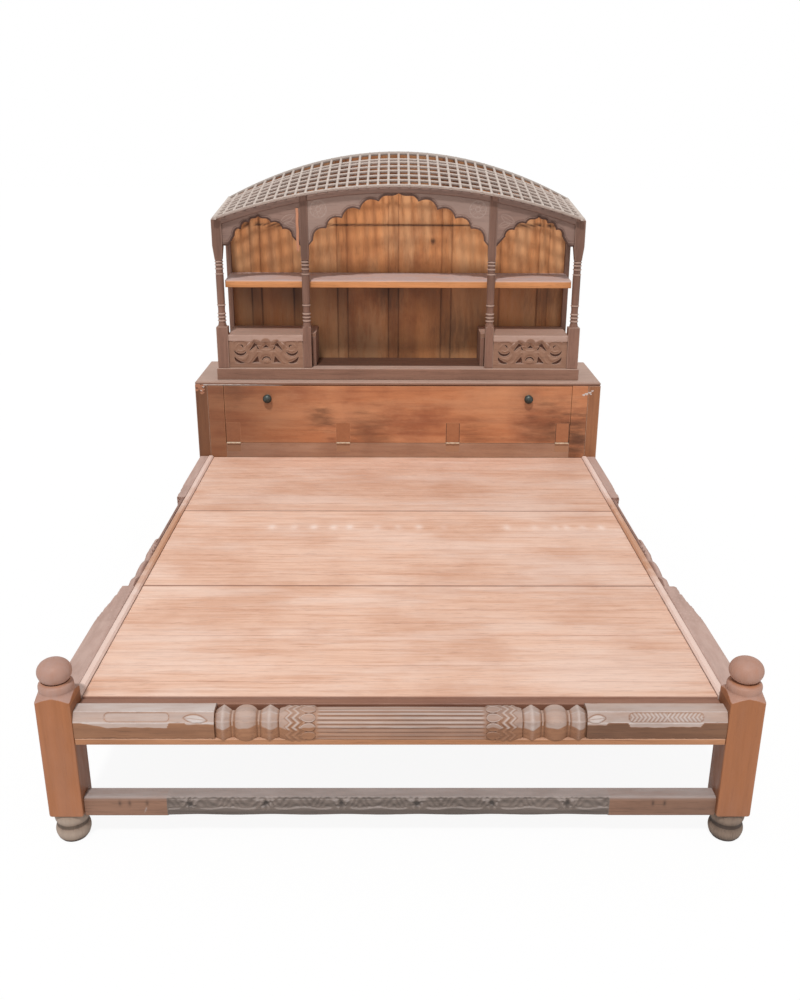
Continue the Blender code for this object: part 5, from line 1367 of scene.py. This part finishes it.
def knob(name):
    """The profile r(out) turned about a line along Y."""
    low, high = node_box(name)
    middle = (low + high) / 2
    angle = circle(48)
    points = grid(middle[0] + KNOB_R * np.cos(angle), high[1] - KNOB_OUT,
                  middle[2] + KNOB_R * np.sin(angle))
    piece(f"{name}_turned", [closed(points, 0.0)], iron, [name], "flap", 45)


for name in ("left_knob", "right_knob"):
    knob(name)

# %% [markdown]
# ## Stage, light and camera
# A pale floor, an even white surround and one large lamp above and in front. The lamp is soft
# but not shapeless, so that it still falls through the lattice in spots on the back boards.

# %% Floor
FLOOR_WHITE = 0.92      # seen directly the floor is mostly white, and still keeps the shadow
FLOOR_HALF = 30


def seen_directly(tree):
    """1 for what the camera sees, also by way of a mirror or glass, and 0 for all other light."""
    seen = add(tree, "LightPath", output="Is Camera Ray")
    for way in ("Is Glossy Ray", "Is Transmission Ray"):
        ray = add(tree, "LightPath", output=way)
        seen = add(tree, "Math", {0: seen, 1: ray}, operation="MAXIMUM")
    return seen


stage_material, tree = new_material("pale floor")
paper = add(tree, "BsdfDiffuse", {"Color": linear("F8F8F8")})
glow = add(tree, "Emission", {"Color": (1, 1, 1, 1), "Strength": 1.0})
share = add(tree, "Math", {0: seen_directly(tree), 1: FLOOR_WHITE}, operation="MULTIPLY")
shader = add(tree, "MixShader", {0: share, 1: paper, 2: glow})
add(tree, "OutputMaterial", {"Surface": shader})
floor_mesh = bpy.data.meshes.new("floor")
corners = [(FLOOR_HALF * x, FLOOR_HALF * y, 0) for x, y in ((-1, -1), (1, -1), (1, 1), (-1, 1))]
floor_mesh.from_pydata(corners, [], [(0, 1, 2, 3)])
floor_mesh.materials.append(stage_material)
floor = bpy.data.objects.new("floor", floor_mesh)
bpy.context.collection.objects.link(floor)
print("floor laid")

# %% Light
AMBIENT, SUN, SUN_SOFTNESS = 0.52, 2.2, 4.5
SUN_TILT, SUN_TURN = 31, -10
scene = bpy.context.scene
scene.view_settings.view_transform = "Standard"
world = bpy.data.worlds.new("white studio")
scene.world = world
world.use_nodes = True
tree = world.node_tree
tree.nodes.clear()
level = add(tree, "MapRange", {0: seen_directly(tree), 1: 0.0, 2: 1.0, 3: AMBIENT, 4: 1.0})
sky = add(tree, "Background", {"Color": (1, 1, 1, 1), "Strength": level})
add(tree, "OutputWorld", {"Surface": sky})
lamp = bpy.data.lights.new("large soft lamp", "SUN")
lamp.energy = SUN
lamp.angle = radians(SUN_SOFTNESS)
lamp_object = bpy.data.objects.new("large soft lamp", lamp)
lamp_object.rotation_euler = (radians(SUN_TILT), 0, radians(SUN_TURN))
bpy.context.collection.objects.link(lamp_object)
print("light: surround", AMBIENT, "lamp", SUN)

# %% Camera
CAMERA_PLACE = (-0.0197, -3.4116, 1.7415)
PITCH, YAW, ROLL = radians(20.11), radians(0.401), radians(-0.2334)
FOCAL_PIXELS, PICTURE_PIXELS = 1010.98, 1000
forward = np.array([sin(YAW) * cos(PITCH), cos(YAW) * cos(PITCH), -sin(PITCH)])
level_right = np.array([cos(YAW), -sin(YAW), 0.0])
down = np.cross(forward, level_right)
right = cos(ROLL) * level_right + sin(ROLL) * down
down = cos(ROLL) * down - sin(ROLL) * level_right
lens = bpy.data.cameras.new("camera")
lens.sensor_width = 36.0
lens.lens = FOCAL_PIXELS * lens.sensor_width / PICTURE_PIXELS
camera = bpy.data.objects.new("camera", lens)
turned = np.eye(4)
turned[:3] = np.stack([right, -down, -forward, CAMERA_PLACE], 1)
camera.matrix_world = Matrix(turned.tolist())
bpy.context.collection.objects.link(camera)
scene.camera = camera
print("camera: lens", round(lens.lens, 3), "mm")
